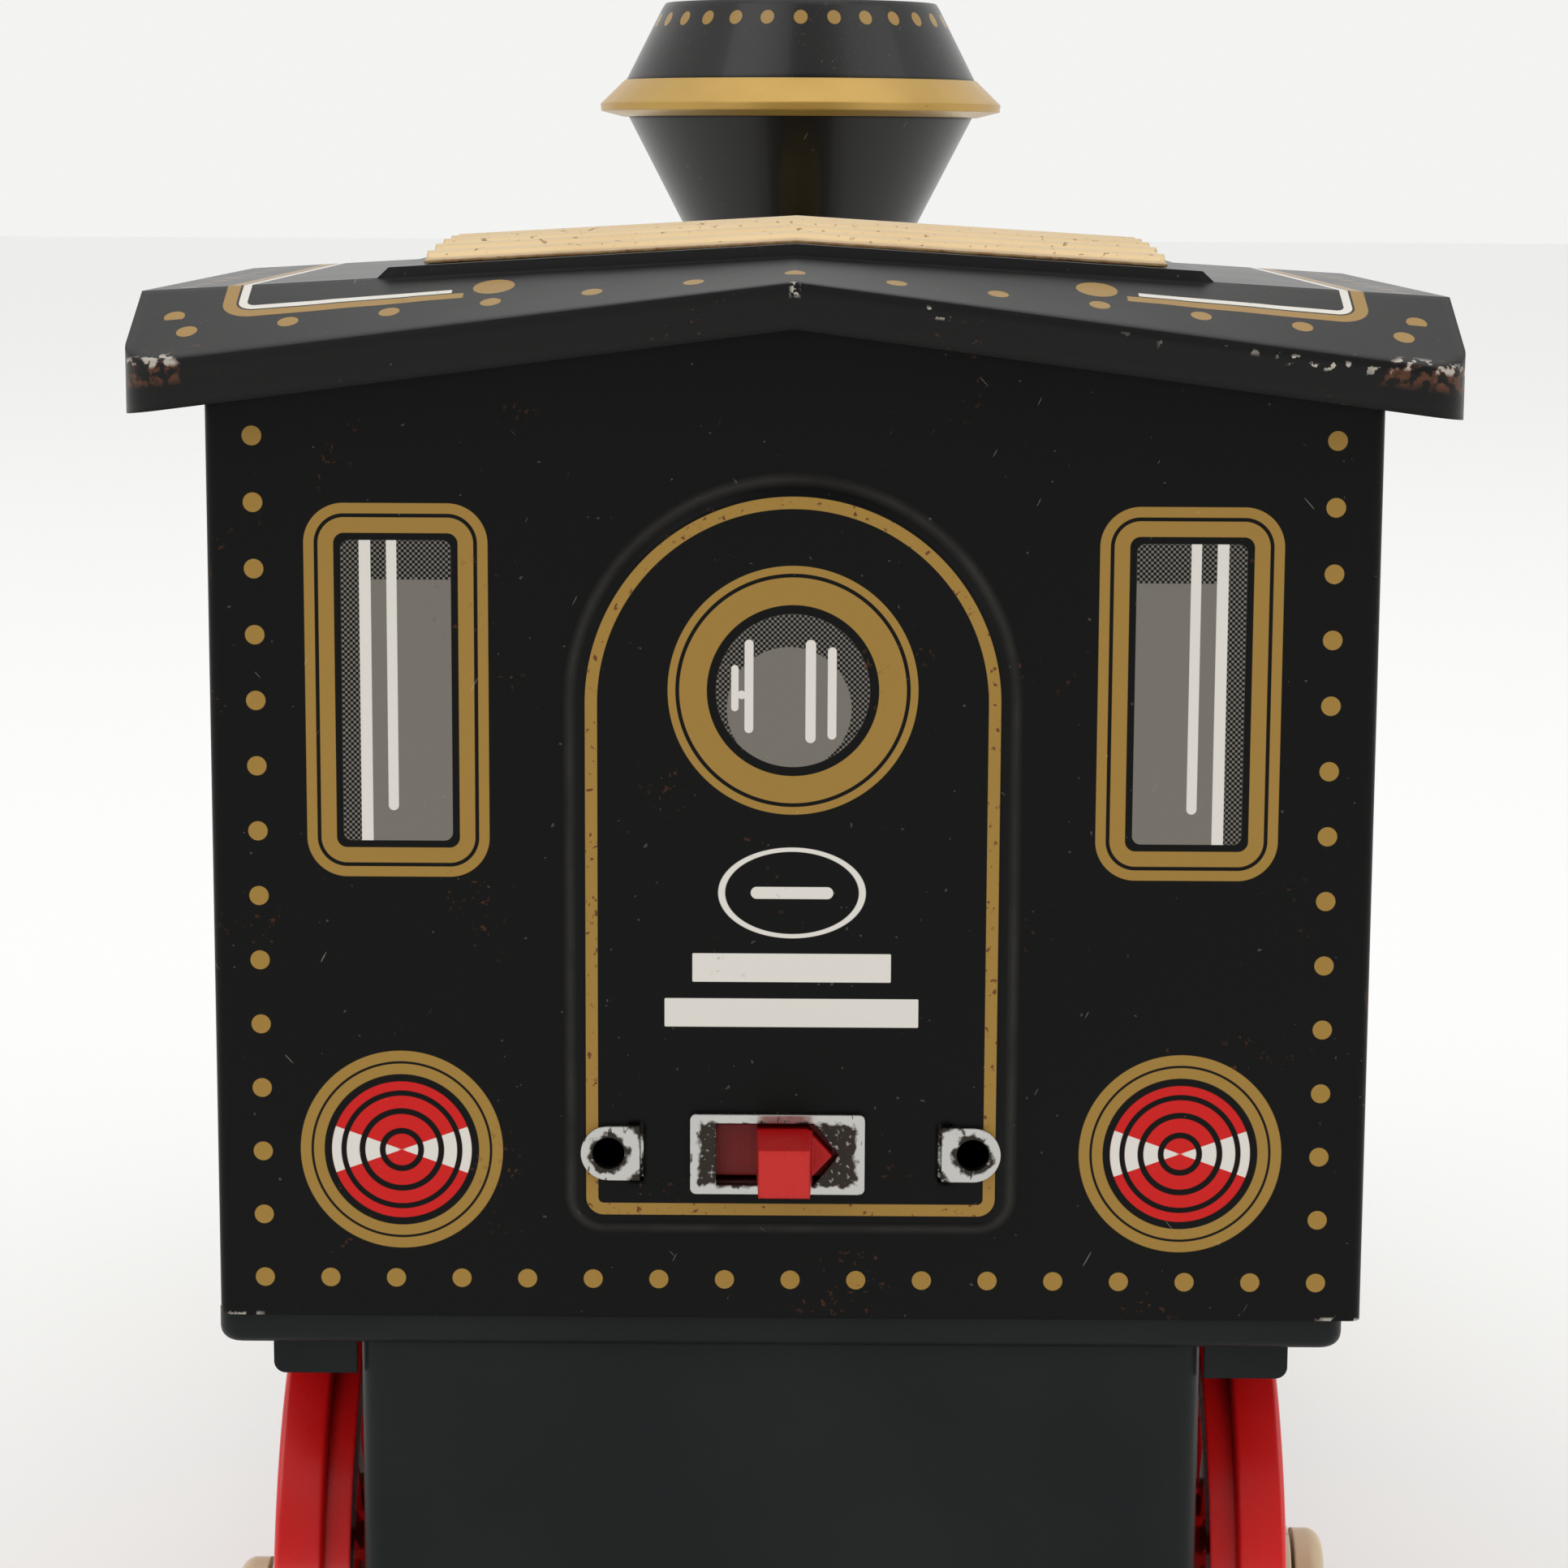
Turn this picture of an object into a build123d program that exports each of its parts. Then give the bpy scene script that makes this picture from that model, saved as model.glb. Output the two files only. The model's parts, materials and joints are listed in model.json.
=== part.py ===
from build123d import *
from math import cos, pi, radians, sin, tan
import os

# Toy steam-outline locomotive in printed tin, driven by two cells and a geared motor.
# Millimetres.  +Z is up, the front points along -Y, the cab's back wall faces +Y and the
# origin lies on the ground under the middle of the whole toy.

# ---- whole toy -------------------------------------------------------------------------
ROOF_REAR = 150.0            # back edge of the roof
DECK = 60.0                  # height of the cab's lower edge over the ground
SHEET = 0.6                  # tinplate
CHASSIS_OFFSET = 0.8         # the chassis sits this far to +X of the tin superstructure

# ---- cab -------------------------------------------------------------------------------
CAB_WIDTH = 96.0
CAB_LOW = DECK + 0.45          # lower edge of the walls, standing on the tray
CAB_LENGTH = 80.0
REAR = 145.5                 # outside of the back wall
FRONT_WALL = REAR - CAB_LENGTH
WALL_TOP_EAVE = DECK + 81.8
WALL_TOP_RIDGE = DECK + 86.8
CORNER_ROUND = 1.0
DOOR_WIDTH = 34.5            # flat face of the raised arched panel
DOOR_LOW = DECK + 9.2
DOOR_SPRING = DECK + 52.65   # where the arch starts
DOOR_RAISE = 1.1
DOOR_RIM = 1.3
DOOR_CORNER = 1.8            # lower corners of the panel's flat face
REAR_SEAM = 1.1              # the back wall is its own pressing, this deep

# ---- roof ------------------------------------------------------------------------------
ROOF_WIDTH = 108.0
ROOF_FRONT = FRONT_WALL - 6.0
ROOF_STRIP = 12.0            # run of the sloping strip at each end
END_RIDGE = DECK + 87.0
END_EAVE = DECK + 80.15
TOP_RIDGE = DECK + 88.9
TOP_EAVE = DECK + 85.7
SKIRT_RIDGE = DECK + 83.3
SKIRT_EAVE = DECK + 76.2
ROOF_CORNER = 3.5
PANEL_WIDTH = 70.0
PANEL_RAISE = 0.9
VENT_WIDTH = 62.0
VENT_RIBS = 8

# ---- switch and lugs in the door panel ---------------------------------------------------
SWITCH_X = 1.1
SWITCH_Z = DECK + 15.0
BEZEL = (14.5, 6.8)
SLOT = (10.2, 5.3)
KNOB_REACH = 8.6             # how far the knob stands out of the back wall
LUG_Z = DECK + 15.0
LUG_X = 15.15
LUG_HOLE = 1.35

# ---- chassis ---------------------------------------------------------------------------
PAN_WIDTH = 95.0
PAN_DEPTH = 2.35
UNDERSIDE = DECK - PAN_DEPTH
FENDER_HALF = 43.1
FENDER_DEPTH = 3.2
FENDER_FRONT = 18.0
BOX_HALF = 35.7
BOX_REAR = 143.5
BOX_FRONT = 75.0
BOX_LOW = 17.0
BOX_WALL = 1.5
DOOR_PIN = (73.4, 16.2)      # y and z of the battery lid's hinge

# ---- running gear ----------------------------------------------------------------------
WHEEL_RADIUS = 27.0
WHEEL_FACE = 44.4
TREAD = 4.3
AXLE_RADIUS = 2.0
DRIVEN_Y = 48.0
TRAILING_Y = 110.0
CRANK = 12.0
CRANK_ANGLES = {"left": 208.0, "right": 225.0}
ROD_PLANE = (45.8, 49.0)
PIN_END = 52.3               # outer end of a crank pin's head
TRUCK_Y = -48.0
TRUCK_HALF_BASE = 18.0
TRUCK_RADIUS = 12.0
PILOT_TIP = -(REAR + KNOB_REACH)

# ---- gear train --------------------------------------------------------------------------
MODULE = 0.8
WHEEL_TEETH = 36
IDLER_TEETH = (28, 10)
PINION_TEETH = 10
IDLER_ANGLE = 135.0
MOTOR_ANGLE = 162.0

# ---- boiler and what stands on it ----------------------------------------------------------
BOILER_RADIUS = 29.0
BOILER_Z = DECK + 29.3
BAND_PLACES = (58.5, 21.5, -28.0)
SMOKEBOX_REAR = -59.5
SMOKEBOX_FRONT = -80.0
STACK_Y = REAR - 190.0
DOME_PLACES = {"steam_dome": (40.0, 12.0, 19.0), "sand_dome": (-11.0, 10.5, 15.5)}
BELL_Y = 14.0
RAIL_X = 32.0
RAIL_Z = BOILER_Z + 14.0
LAMP_Z = BOILER_Z + BOILER_RADIUS + 12.85


def block(x, y, z):
    """A box between the low and high values of each axis."""
    size = Box(x[1] - x[0], y[1] - y[0], z[1] - z[0])
    return Pos((x[0] + x[1]) / 2, (y[0] + y[1]) / 2, (z[0] + z[1]) / 2) * size


def bar_x(x, y, z, radius):
    """A round bar along X between the two values of x."""
    bar = Rot(0, 90, 0) * Cylinder(radius, x[1] - x[0])
    return Pos((x[0] + x[1]) / 2, y, z) * bar


def bar_y(x, y, z, radius):
    """A round bar along Y between the two values of y."""
    bar = Rot(90, 0, 0) * Cylinder(radius, y[1] - y[0])
    return Pos(x, (y[0] + y[1]) / 2, z) * bar


def bar_z(x, y, z, radius):
    """A round bar along Z between the two values of z."""
    return Pos(x, y, (z[0] + z[1]) / 2) * Cylinder(radius, z[1] - z[0])


def turned(points, x=0.0, y=0.0):
    """A solid of revolution about a vertical line, from (radius, height) points."""
    profile = make_face(Plane.XZ * Polyline(*points, close=True))
    return Pos(x, y, 0) * revolve(profile, Axis.Z)


def upright(y):
    """The plane facing along Y at y, with local x on X and local y on Z."""
    return Plane(origin=(0, y, 0), x_dir=(1, 0, 0), z_dir=(0, -1, 0))


def mirrored(shape):
    """The same piece on the other side of the toy."""
    return mirror(shape, about=Plane.YZ)


# ---- cab ---------------------------------------------------------------------------------

def arch(width, low, y, corner):
    """The round-topped door shape with rounded lower corners, standing in the plane y."""
    half = width / 2
    outline = Polyline((-half, DOOR_SPRING), (-half, low), (half, low), (half, DOOR_SPRING))
    top = ThreePointArc((half, DOOR_SPRING), (0, DOOR_SPRING + half), (-half, DOOR_SPRING))
    face = upright(y) * make_face(outline + top)
    return fillet(face.vertices().group_by(Axis.Z)[0], corner)


def door_emboss(shrink, back):
    """The raised panel as a solid, smaller by shrink and set in by back."""
    corner = DOOR_CORNER - shrink
    base = arch(DOOR_WIDTH + 2 * DOOR_RIM - 2 * shrink, DOOR_LOW - DOOR_RIM + shrink, REAR - back,
                corner + DOOR_RIM)
    face = arch(DOOR_WIDTH - 2 * shrink, DOOR_LOW + shrink, REAR + DOOR_RAISE - back, corner)
    return loft([base, face], ruled=True)


def cab_shell():
    half = CAB_WIDTH / 2
    gable = [(-half, CAB_LOW), (half, CAB_LOW), (half, WALL_TOP_EAVE), (0, WALL_TOP_RIDGE)]
    gable.append((-half, WALL_TOP_EAVE))
    outside = extrude(upright(REAR) * make_face(Polyline(*gable, close=True)), CAB_LENGTH)
    outside = fillet(outside.edges().filter_by(Axis.Z), CORNER_ROUND)
    inner = half - SHEET
    hollow = block((-inner, inner), (FRONT_WALL + SHEET, REAR - SHEET), (DECK - 1, WALL_TOP_RIDGE + 1))
    shell = outside - hollow + door_emboss(0, 0) - door_emboss(SHEET, SHEET)
    shell -= block((SWITCH_X - 6.2, SWITCH_X + 6.2), (REAR - 2, REAR + 3), (SWITCH_Z - 2.95, SWITCH_Z + 2.95))
    for side in (-1, 1):
        slot_x = side * (LUG_X - 2.3)
        shell -= block((slot_x - 0.6, slot_x + 0.6), (REAR - 2, REAR + 3), (LUG_Z - 2.5, LUG_Z + 2.5))
        shell -= bar_y(side * LUG_X, (REAR - 2, REAR + 3), LUG_Z, LUG_HOLE)
    seam = (REAR - REAR_SEAM - 0.05, REAR - REAR_SEAM)
    return shell - block((-half - 1, half + 1), seam, (DECK, WALL_TOP_RIDGE + 1))


# ---- roof --------------------------------------------------------------------------------

def roof_section(y, ridge, eave, half, skirt_ridge, skirt_eave):
    points = [(-half, skirt_eave), (0, skirt_ridge), (half, skirt_eave)]
    points += [(half, eave), (0, ridge), (-half, eave)]
    return upright(y) * make_face(Polyline(*points, close=True))


def roof_body(inset, drop):
    """The roof as a full block: inset from the sides, and drop lowers its lower edge."""
    half = ROOF_WIDTH / 2 - inset
    rear = ROOF_REAR - inset
    front = ROOF_FRONT + inset
    low = (SKIRT_RIDGE - drop, SKIRT_EAVE - drop)
    sections = [
        roof_section(rear, END_RIDGE - inset, END_EAVE - inset, half, *low),
        roof_section(ROOF_REAR - ROOF_STRIP, TOP_RIDGE - inset, TOP_EAVE - inset, half, *low),
        roof_section(ROOF_FRONT + ROOF_STRIP, TOP_RIDGE - inset, TOP_EAVE - inset, half, *low),
        roof_section(front, END_RIDGE - inset, END_EAVE - inset, half, *low),
    ]
    body = loft(sections, ruled=True)
    uprights = [e for e in body.edges().filter_by(Axis.Z) if abs(e.center().X) > half - 1]
    ends = [e for e in uprights if e.center().Y > rear - 1 or e.center().Y < front + 1]
    return fillet(ends, ROOF_CORNER - inset)


def raised_panel():
    """The shallow pressed panel along the middle of the roof, in two pitched halves."""
    pitch = (TOP_RIDGE - TOP_EAVE) / (ROOF_WIDTH / 2)
    run = (ROOF_FRONT + ROOF_STRIP, ROOF_REAR - ROOF_STRIP)
    half = PANEL_WIDTH / 2
    low = TOP_RIDGE - 0.4
    flank = TOP_RIDGE - pitch * half
    points = [(-half, flank - 0.4), (0, low), (half, flank - 0.4), (half - 1.4, flank + PANEL_RAISE),
              (0, TOP_RIDGE + PANEL_RAISE), (1.4 - half, flank + PANEL_RAISE)]
    face = upright(run[1]) * make_face(Polyline(*points, close=True))
    return extrude(face, run[1] - run[0])


def cab_roof():
    return roof_body(0, 0) - roof_body(SHEET, 12.0) + raised_panel()


def roof_vent():
    """The ribbed ventilator: a low arched plate with ribs across, pitched like the roof."""
    pitch = (TOP_RIDGE - TOP_EAVE) / (ROOF_WIDTH / 2)
    rear = ROOF_REAR - ROOF_STRIP - 3.0
    front = ROOF_FRONT + ROOF_STRIP + 3.0
    length = rear - front
    foot = TOP_RIDGE + PANEL_RAISE
    edge = foot + 0.25
    crown = foot + 1.3
    plate = make_face(Plane.YZ * (
        Polyline((rear, edge), (rear, foot), (front, foot), (front, edge))
        + ThreePointArc((front, edge), ((rear + front) / 2, crown), (rear, edge))))
    direction = Vector(1, 0, -pitch)
    step = length / VENT_RIBS
    half = VENT_WIDTH / 2
    side = extrude(plate, half, dir=direction)
    for rib in range(VENT_RIBS):
        y = front + step * (rib + 0.5)
        across = (y - (rear + front) / 2) / (length / 2)
        top = edge + (crown - edge) * (1 - across ** 2)
        bead = make_face(Plane.YZ * (
            Polyline((y + 1.5, top - 0.1), (y + 1.5, foot), (y - 1.5, foot), (y - 1.5, top - 0.1))
            + ThreePointArc((y - 1.5, top - 0.1), (y, top + 0.5), (y + 1.5, top - 0.1))))
        side += extrude(bead, half, dir=direction)
    return side + mirrored(side)


# ---- switch ------------------------------------------------------------------------------

def switch_bezel():
    face = REAR + DOOR_RAISE
    plate = block((SWITCH_X - BEZEL[0] / 2, SWITCH_X + BEZEL[0] / 2), (face, face + 0.7),
                  (SWITCH_Z - BEZEL[1] / 2, SWITCH_Z + BEZEL[1] / 2))
    plate = fillet(plate.edges().filter_by(Axis.Y), 0.5)
    half = SLOT[0] / 2
    high = SLOT[1] / 2
    arrow = [(half, high), (half, -high), (2.1 - half, -high), (-half, 0), (2.1 - half, high)]
    points = [(SWITCH_X + x, SWITCH_Z + z) for x, z in arrow]
    return plate - extrude(upright(face + 2) * make_face(Polyline(*points, close=True)), 4)


def switch_housing():
    """The box behind the wall; its hollow leaves room for the plate's whole travel."""
    front = REAR + DOOR_RAISE - SHEET
    body = block((SWITCH_X - 7.0, SWITCH_X + 10.4), (front - 9.0, front), (SWITCH_Z - 3.3, SWITCH_Z + 3.3))
    hollow = block((SWITCH_X - 5.9, SWITCH_X + 9.3), (front - 5.0, front + 1), (SWITCH_Z - 2.6, SWITCH_Z + 2.6))
    return body - hollow


def switch_slider():
    """The sliding plate, its arrow-shaped block and the knob, at the end of travel nearer -X."""
    inside = REAR + DOOR_RAISE - SHEET
    high = (SWITCH_Z - 2.2, SWITCH_Z + 2.2)
    plate = block((SWITCH_X - 5.5, SWITCH_X + 5.7), (inside - 4.2, inside - 0.4), high)
    arrow = [(1.7, 2.15), (1.7, -2.15), (-2.5, -2.15), (-4.5, 0), (-2.5, 2.15)]
    points = [(SWITCH_X + x, SWITCH_Z + z) for x, z in arrow]
    raised = extrude(upright(REAR + 2.2) * make_face(Polyline(*points, close=True)), 3.0)
    root = upright(REAR + 2.0) * Pos(SWITCH_X - 0.6, SWITCH_Z) * Rectangle(4.6, 4.3)
    end = upright(REAR + KNOB_REACH) * Pos(SWITCH_X - 0.6, SWITCH_Z) * Rectangle(4.2, 4.0)
    knob = loft([root.face(), end.face()], ruled=True)
    return plate + raised + fillet(knob.edges().group_by(Axis.Y)[-1], 0.35)


def lug_strap():
    """An inner strap whose two ends come out through slots and lie folded on the panel."""
    face = REAR + DOOR_RAISE
    inside = face - SHEET
    reach = LUG_X - 2.3
    back = (inside - 0.6, inside)
    low = LUG_Z - 2.3
    strap = block((-reach - 0.3, reach + 0.3), back, (LUG_Z + 4.2, LUG_Z + 8.0))
    for side in (-1, 1):
        fold = sorted((side * (reach - 0.3), side * (reach + 0.3)))
        strap += block(sorted((side * (reach - 1.0), side * (reach + 0.3))), back, (low, LUG_Z + 8.0))
        strap += block(fold, (inside - 0.6, face + 0.6), (low, LUG_Z + 2.3))
        tab = block(sorted((side * reach, side * LUG_X)), (face, face + 0.6), (low, LUG_Z + 2.3))
        tab += bar_y(side * LUG_X, (face, face + 0.6), LUG_Z, 2.3)
        strap += tab - bar_y(side * LUG_X, (face - 1, face + 2), LUG_Z, LUG_HOLE)
    return strap


# ---- chassis -----------------------------------------------------------------------------

def cab_pan():
    """The shallow tray that closes the cab from below."""
    half = PAN_WIDTH / 2
    run = (FRONT_WALL - 1.5, REAR - 0.6)
    pan = block((-half, half), run, (UNDERSIDE, CAB_LOW))
    pan = fillet(pan.edges().filter_by(Axis.Z), 2.0)
    pan = fillet(pan.edges().group_by(Axis.Z)[0], 1.2)
    inner = half - SHEET - 0.8
    pan -= block((-inner, inner), (run[0] + 1.4, run[1] - 1.4), (UNDERSIDE + SHEET, DECK + 2))
    belly = block((-16, 16), (run[0] - 1, FRONT_WALL + SHEET), (DECK, DECK + 2))
    return pan - belly


def running_board():
    """The plate along both sides of the boiler, with its edge folded down."""
    half = FENDER_HALF
    run = (-92.0, FRONT_WALL - 1.6)
    board = block((-half, half), run, (UNDERSIDE, DECK))
    board = fillet(board.edges().group_by(Axis.Z)[-1], 0.5)
    inner = half - SHEET
    return board - block((-inner, inner), (run[0] + SHEET, run[1] - SHEET), (UNDERSIDE - 1, DECK - SHEET))


def fender_right():
    """One wheel cover: a shallow trough beside the battery box, open to the ground."""
    x = (BOX_HALF + 0.3, FENDER_HALF)
    y = (FENDER_FRONT, BOX_REAR - 1.0)
    cover = block(x, y, (UNDERSIDE - FENDER_DEPTH, UNDERSIDE))
    edges = cover.edges().filter_by(Axis.Y).sort_by(Axis.Z)[:2].sort_by(Axis.X)[-1:]
    cover = fillet(edges, 1.0)
    return cover - block((x[0] - 1, x[1] - SHEET), (y[0] + SHEET, y[1] - SHEET), (0, UNDERSIDE - SHEET))


def battery_box():
    y = (BOX_FRONT, BOX_REAR)
    box = block((-BOX_HALF, BOX_HALF), y, (BOX_LOW, UNDERSIDE))
    box = fillet(box.edges().filter_by(Axis.Z), 2.3)
    inner = BOX_HALF - BOX_WALL
    box -= block((-inner, inner), (y[0] + BOX_WALL, y[1] - BOX_WALL), (BOX_LOW - 1, UNDERSIDE - BOX_WALL))
    for side in (-1, 1):
        box -= bar_x(sorted((side * (inner - 1), side * (BOX_HALF + 1))), TRAILING_Y, WHEEL_RADIUS, AXLE_RADIUS)
        ear = sorted((side * 30.0, side * 33.0))
        box += block(ear, (DOOR_PIN[0] - 1.8, BOX_FRONT + 0.5), (DOOR_PIN[1] - 1.6, 24.0))
    return box - bar_x((-34, 34), *DOOR_PIN, 0.85)


def battery_lid():
    lid = block((-34.4, 34.4), (BOX_FRONT + 1.7, BOX_REAR - 0.4), (BOX_LOW - 1.8, BOX_LOW - 0.3))
    lid = fillet([e for e in lid.edges().filter_by(Axis.Z) if e.center().Y > 100], 2.0)
    for row in range(5):
        y = BOX_REAR - 6.0 - 2.4 * row
        lid -= block((-9, 9), (y - 0.6, y + 0.6), (BOX_LOW - 3, BOX_LOW - 1.3))
    tongue = block((-29.4, 29.4), (DOOR_PIN[0], BOX_FRONT + 2.0), (BOX_LOW - 1.8, BOX_LOW - 0.3))
    lid += tongue + bar_x((-29.4, 29.4), *DOOR_PIN, 1.6)
    return lid - bar_x((-31, 31), *DOOR_PIN, 0.85)


def lid_pin():
    return bar_x((-33.0, 33.0), *DOOR_PIN, 0.8)


def battery_cell(side):
    x = side * 16.7
    z = 34.2
    cell = bar_y(x, (80.5, 138.5), z, 16.5)
    cell = fillet(cell.edges(), 1.0)
    nub_at = (138.5, 140.4) if side > 0 else (78.9, 80.5)
    return cell + bar_y(x, nub_at, z, 4.5)


def battery_contacts():
    """The contact plates at both ends of the box, with a coil spring for each cell."""
    pieces = [block((-30, 30), (141.65, 142.0), (28, 40))]
    for side in (-1, 1):
        pieces.append(block(sorted((side * 4, side * 30)), (76.5, 76.85), (28, 40)))
    for x, y, turn in ((16.7, 76.9, -90), (-16.7, 141.6, 90)):
        path = Helix(pitch=1.3, height=2.6, radius=6.0)
        wire = Plane(origin=path @ 0, z_dir=path % 0) * Circle(0.4)
        coil = sweep(wire, path=path)
        pieces.append(Pos(x, y, 34.2) * Rot(turn, 0, 0) * coil)
    return Compound(pieces)


def frame_channel():
    """The spine under the boiler that carries cylinders, truck and pilot."""
    outside = block((-12, 12), (-92.0, 5.0), (50.0, UNDERSIDE))
    channel = outside - block((-11.2, 11.2), (-93, 6), (49, UNDERSIDE - 0.8))
    return channel + block((-12, 12), (-66, -30), (50, 50.8))


def pilot_beam():
    beam = block((-42, 42), (-96.0, -92.0), (40.0, 56.0))
    return fillet(beam.edges().filter_by(Axis.Y), 2.0)


def pilot_ring(corner, tip, low, thick):
    """A flat pointed frame of the pilot, from its back corner to its tip, both (x, y)."""
    points = [(corner[0], -96), corner, tip]
    outline = points + [(-x, y) for x, y in reversed(points)]
    return Pos(0, 0, low) * extrude(make_face(Polyline(*outline, close=True)), thick)


def pilot():
    """The cowcatcher: a pointed base, a short top bar and slats leaning forward."""
    frame = pilot_ring((40, -102), (5, PILOT_TIP), 5, 4)
    frame -= pilot_ring((34, -103), (2, PILOT_TIP + 6), 4, 7)
    frame += pilot_ring((33, -100), (4, -116), 35, 3.6)
    frame += block((-38, 38), (-98.5, -96), (5, 40))
    slats = 8
    for side in (-1, 1):
        for i in range(slats):
            part = i / (slats - 1)
            foot = Vector(side * (38.0 - 34.5 * part), -103.5 + (PILOT_TIP + 106.0) * part, 7.0)
            head = Vector(side * (31.0 - 28.0 * part), -99.4 - 14.6 * part, 37.0)
            slat = Cylinder(1.5, (head - foot).length)
            frame += Plane(origin=(head + foot) * 0.5, z_dir=(head - foot).normalized()) * slat
    return frame


# ---- running gear ------------------------------------------------------------------------

def driver_right(y, angle, bore):
    """A spoked driving wheel at its place on the right-hand (+X) side."""
    inner = WHEEL_FACE - TREAD
    rim = bar_x((inner, WHEEL_FACE), y, WHEEL_RADIUS, WHEEL_RADIUS)
    rim = fillet(rim.edges(), 0.5)
    rim += bar_x((inner - 2.3, inner + 0.5), y, WHEEL_RADIUS, WHEEL_RADIUS - 1.2)
    rim -= bar_x((inner - 3, WHEEL_FACE + 1), y, WHEEL_RADIUS, 22.4)
    rim += bar_x((inner - 2.0, WHEEL_FACE - 1.2), y, WHEEL_RADIUS, 7.0)
    spokes = 12
    for i in range(spokes):
        spoke = block((inner - 1.2, WHEEL_FACE - 1.8), (5.5, 23.0), (-1.35, 1.35))
        rim += Pos(0, y, WHEEL_RADIUS) * Rot(360 * i / spokes, 0, 0) * spoke
    weight = bar_x((inner - 1.0, WHEEL_FACE - 1.5), 0, 0, 22.8)
    weight -= block((0, 60), (-30, 14.0), (-30, 30))
    rim += Pos(0, y, WHEEL_RADIUS) * Rot(angle + 180, 0, 0) * weight
    pin = crank_place(y, angle)
    rim += bar_x((inner - 1.0, WHEEL_FACE + 0.8), *pin, 4.0)
    rim -= bar_x((inner + 0.6, WHEEL_FACE + 2), *pin, 1.2)
    return rim - bar_x((0, 60), y, WHEEL_RADIUS, bore)


def crank_place(y, angle):
    return (y + CRANK * cos(radians(angle)), WHEEL_RADIUS + CRANK * sin(radians(angle)))


def crank_pin_right(y, angle):
    place = crank_place(y, angle)
    pin = bar_x((WHEEL_FACE - TREAD + 0.6, PIN_END), *place, 1.2)
    head = bar_x((ROD_PLANE[1] + 0.4, PIN_END), *place, 4.2)
    return pin + fillet(head.edges().group_by(Axis.X)[-1], 1.5)


def side_rod_right(angle):
    """The coupling rod; its front eye turns on the pin and its back eye has clearance."""
    front = crank_place(DRIVEN_Y, angle)
    rear = crank_place(TRAILING_Y, angle)
    x = ROD_PLANE
    rod = block(x, (front[0], rear[0]), (front[1] - 2.4, front[1] + 2.4))
    rod += bar_x(x, *front, 4.4) + bar_x(x, *rear, 4.4)
    rod -= block((x[1] - 0.5, x[1] + 1), (front[0] + 7, rear[0] - 7), (front[1] - 1.3, front[1] + 1.3))
    rod -= bar_x((x[0] - 1, x[1] + 1), *front, 1.28)
    return rod - bar_x((x[0] - 1, x[1] + 1), *rear, 1.75)


def axle_stud_right():
    """The fixed stud in the box's side that a trailing driver turns on."""
    stud = bar_x((BOX_HALF - BOX_WALL, WHEEL_FACE - 0.9), TRAILING_Y, WHEEL_RADIUS, AXLE_RADIUS)
    head = bar_x((WHEEL_FACE - 0.9, WHEEL_FACE - 0.1), TRAILING_Y, WHEEL_RADIUS, 3.6)
    return stud + fillet(head.edges().group_by(Axis.X)[-1], 0.4)


def driven_axle():
    return bar_x((-WHEEL_FACE + 0.6, WHEEL_FACE - 0.6), DRIVEN_Y, WHEEL_RADIUS, AXLE_RADIUS)


def truck_frame():
    y = (TRUCK_Y - TRUCK_HALF_BASE - 5, TRUCK_Y + TRUCK_HALF_BASE + 5)
    frame = block((-15.2, 15.2), y, (26, 27.2))
    frame = fillet(frame.edges().filter_by(Axis.Z), 3.0)
    for side in (-1, 1):
        for end in (-1, 1):
            axle_y = TRUCK_Y + end * TRUCK_HALF_BASE
            ear = block(sorted((side * 14.0, side * 15.2)), (axle_y - 4, axle_y + 4), (TRUCK_RADIUS, 26.4))
            ear += bar_x(sorted((side * 14.0, side * 15.2)), axle_y, TRUCK_RADIUS, 4.0)
            frame += ear - bar_x((-20, 20), axle_y, TRUCK_RADIUS, 1.28)
    frame -= bar_z(0, TRUCK_Y, (20, 30), 2.6)
    for side in (-1, 1):
        frame -= block((-9, 9), sorted((TRUCK_Y + side * 9, TRUCK_Y + side * 17)), (20, 30))
    return frame


def truck_pivot():
    pin = bar_z(0, TRUCK_Y, (24.2, 50.0), 2.5)
    pin += bar_z(0, TRUCK_Y, (27.5, 48.4), 4.5)
    return pin + fillet(bar_z(0, TRUCK_Y, (24.2, 25.7), 5.0).edges().group_by(Axis.Z)[0], 0.6)


def truck_axle(end):
    return bar_x((-27.0, 27.0), TRUCK_Y + end * TRUCK_HALF_BASE, TRUCK_RADIUS, 1.2)


def truck_wheels(end):
    """The pair of small wheels on one truck axle."""
    y = TRUCK_Y + end * TRUCK_HALF_BASE
    pair = []
    for side in (-1, 1):
        wheel = bar_x((20.0, 25.6), y, TRUCK_RADIUS, TRUCK_RADIUS)
        wheel = fillet(wheel.edges(), 0.5)
        wheel -= bar_x((24.2, 27), y, TRUCK_RADIUS, 9.2)
        wheel += bar_x((21, 26.2), y, TRUCK_RADIUS, 3.6)
        for i in range(6):
            hole = bar_x((19, 27), y + 6.4 * cos(pi * i / 3), TRUCK_RADIUS + 6.4 * sin(pi * i / 3), 1.9)
            wheel -= hole
        wheel -= bar_x((19, 28), y, TRUCK_RADIUS, 1.2)
        pair.append(wheel if side > 0 else mirrored(wheel))
    return Compound(pair)


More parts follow.
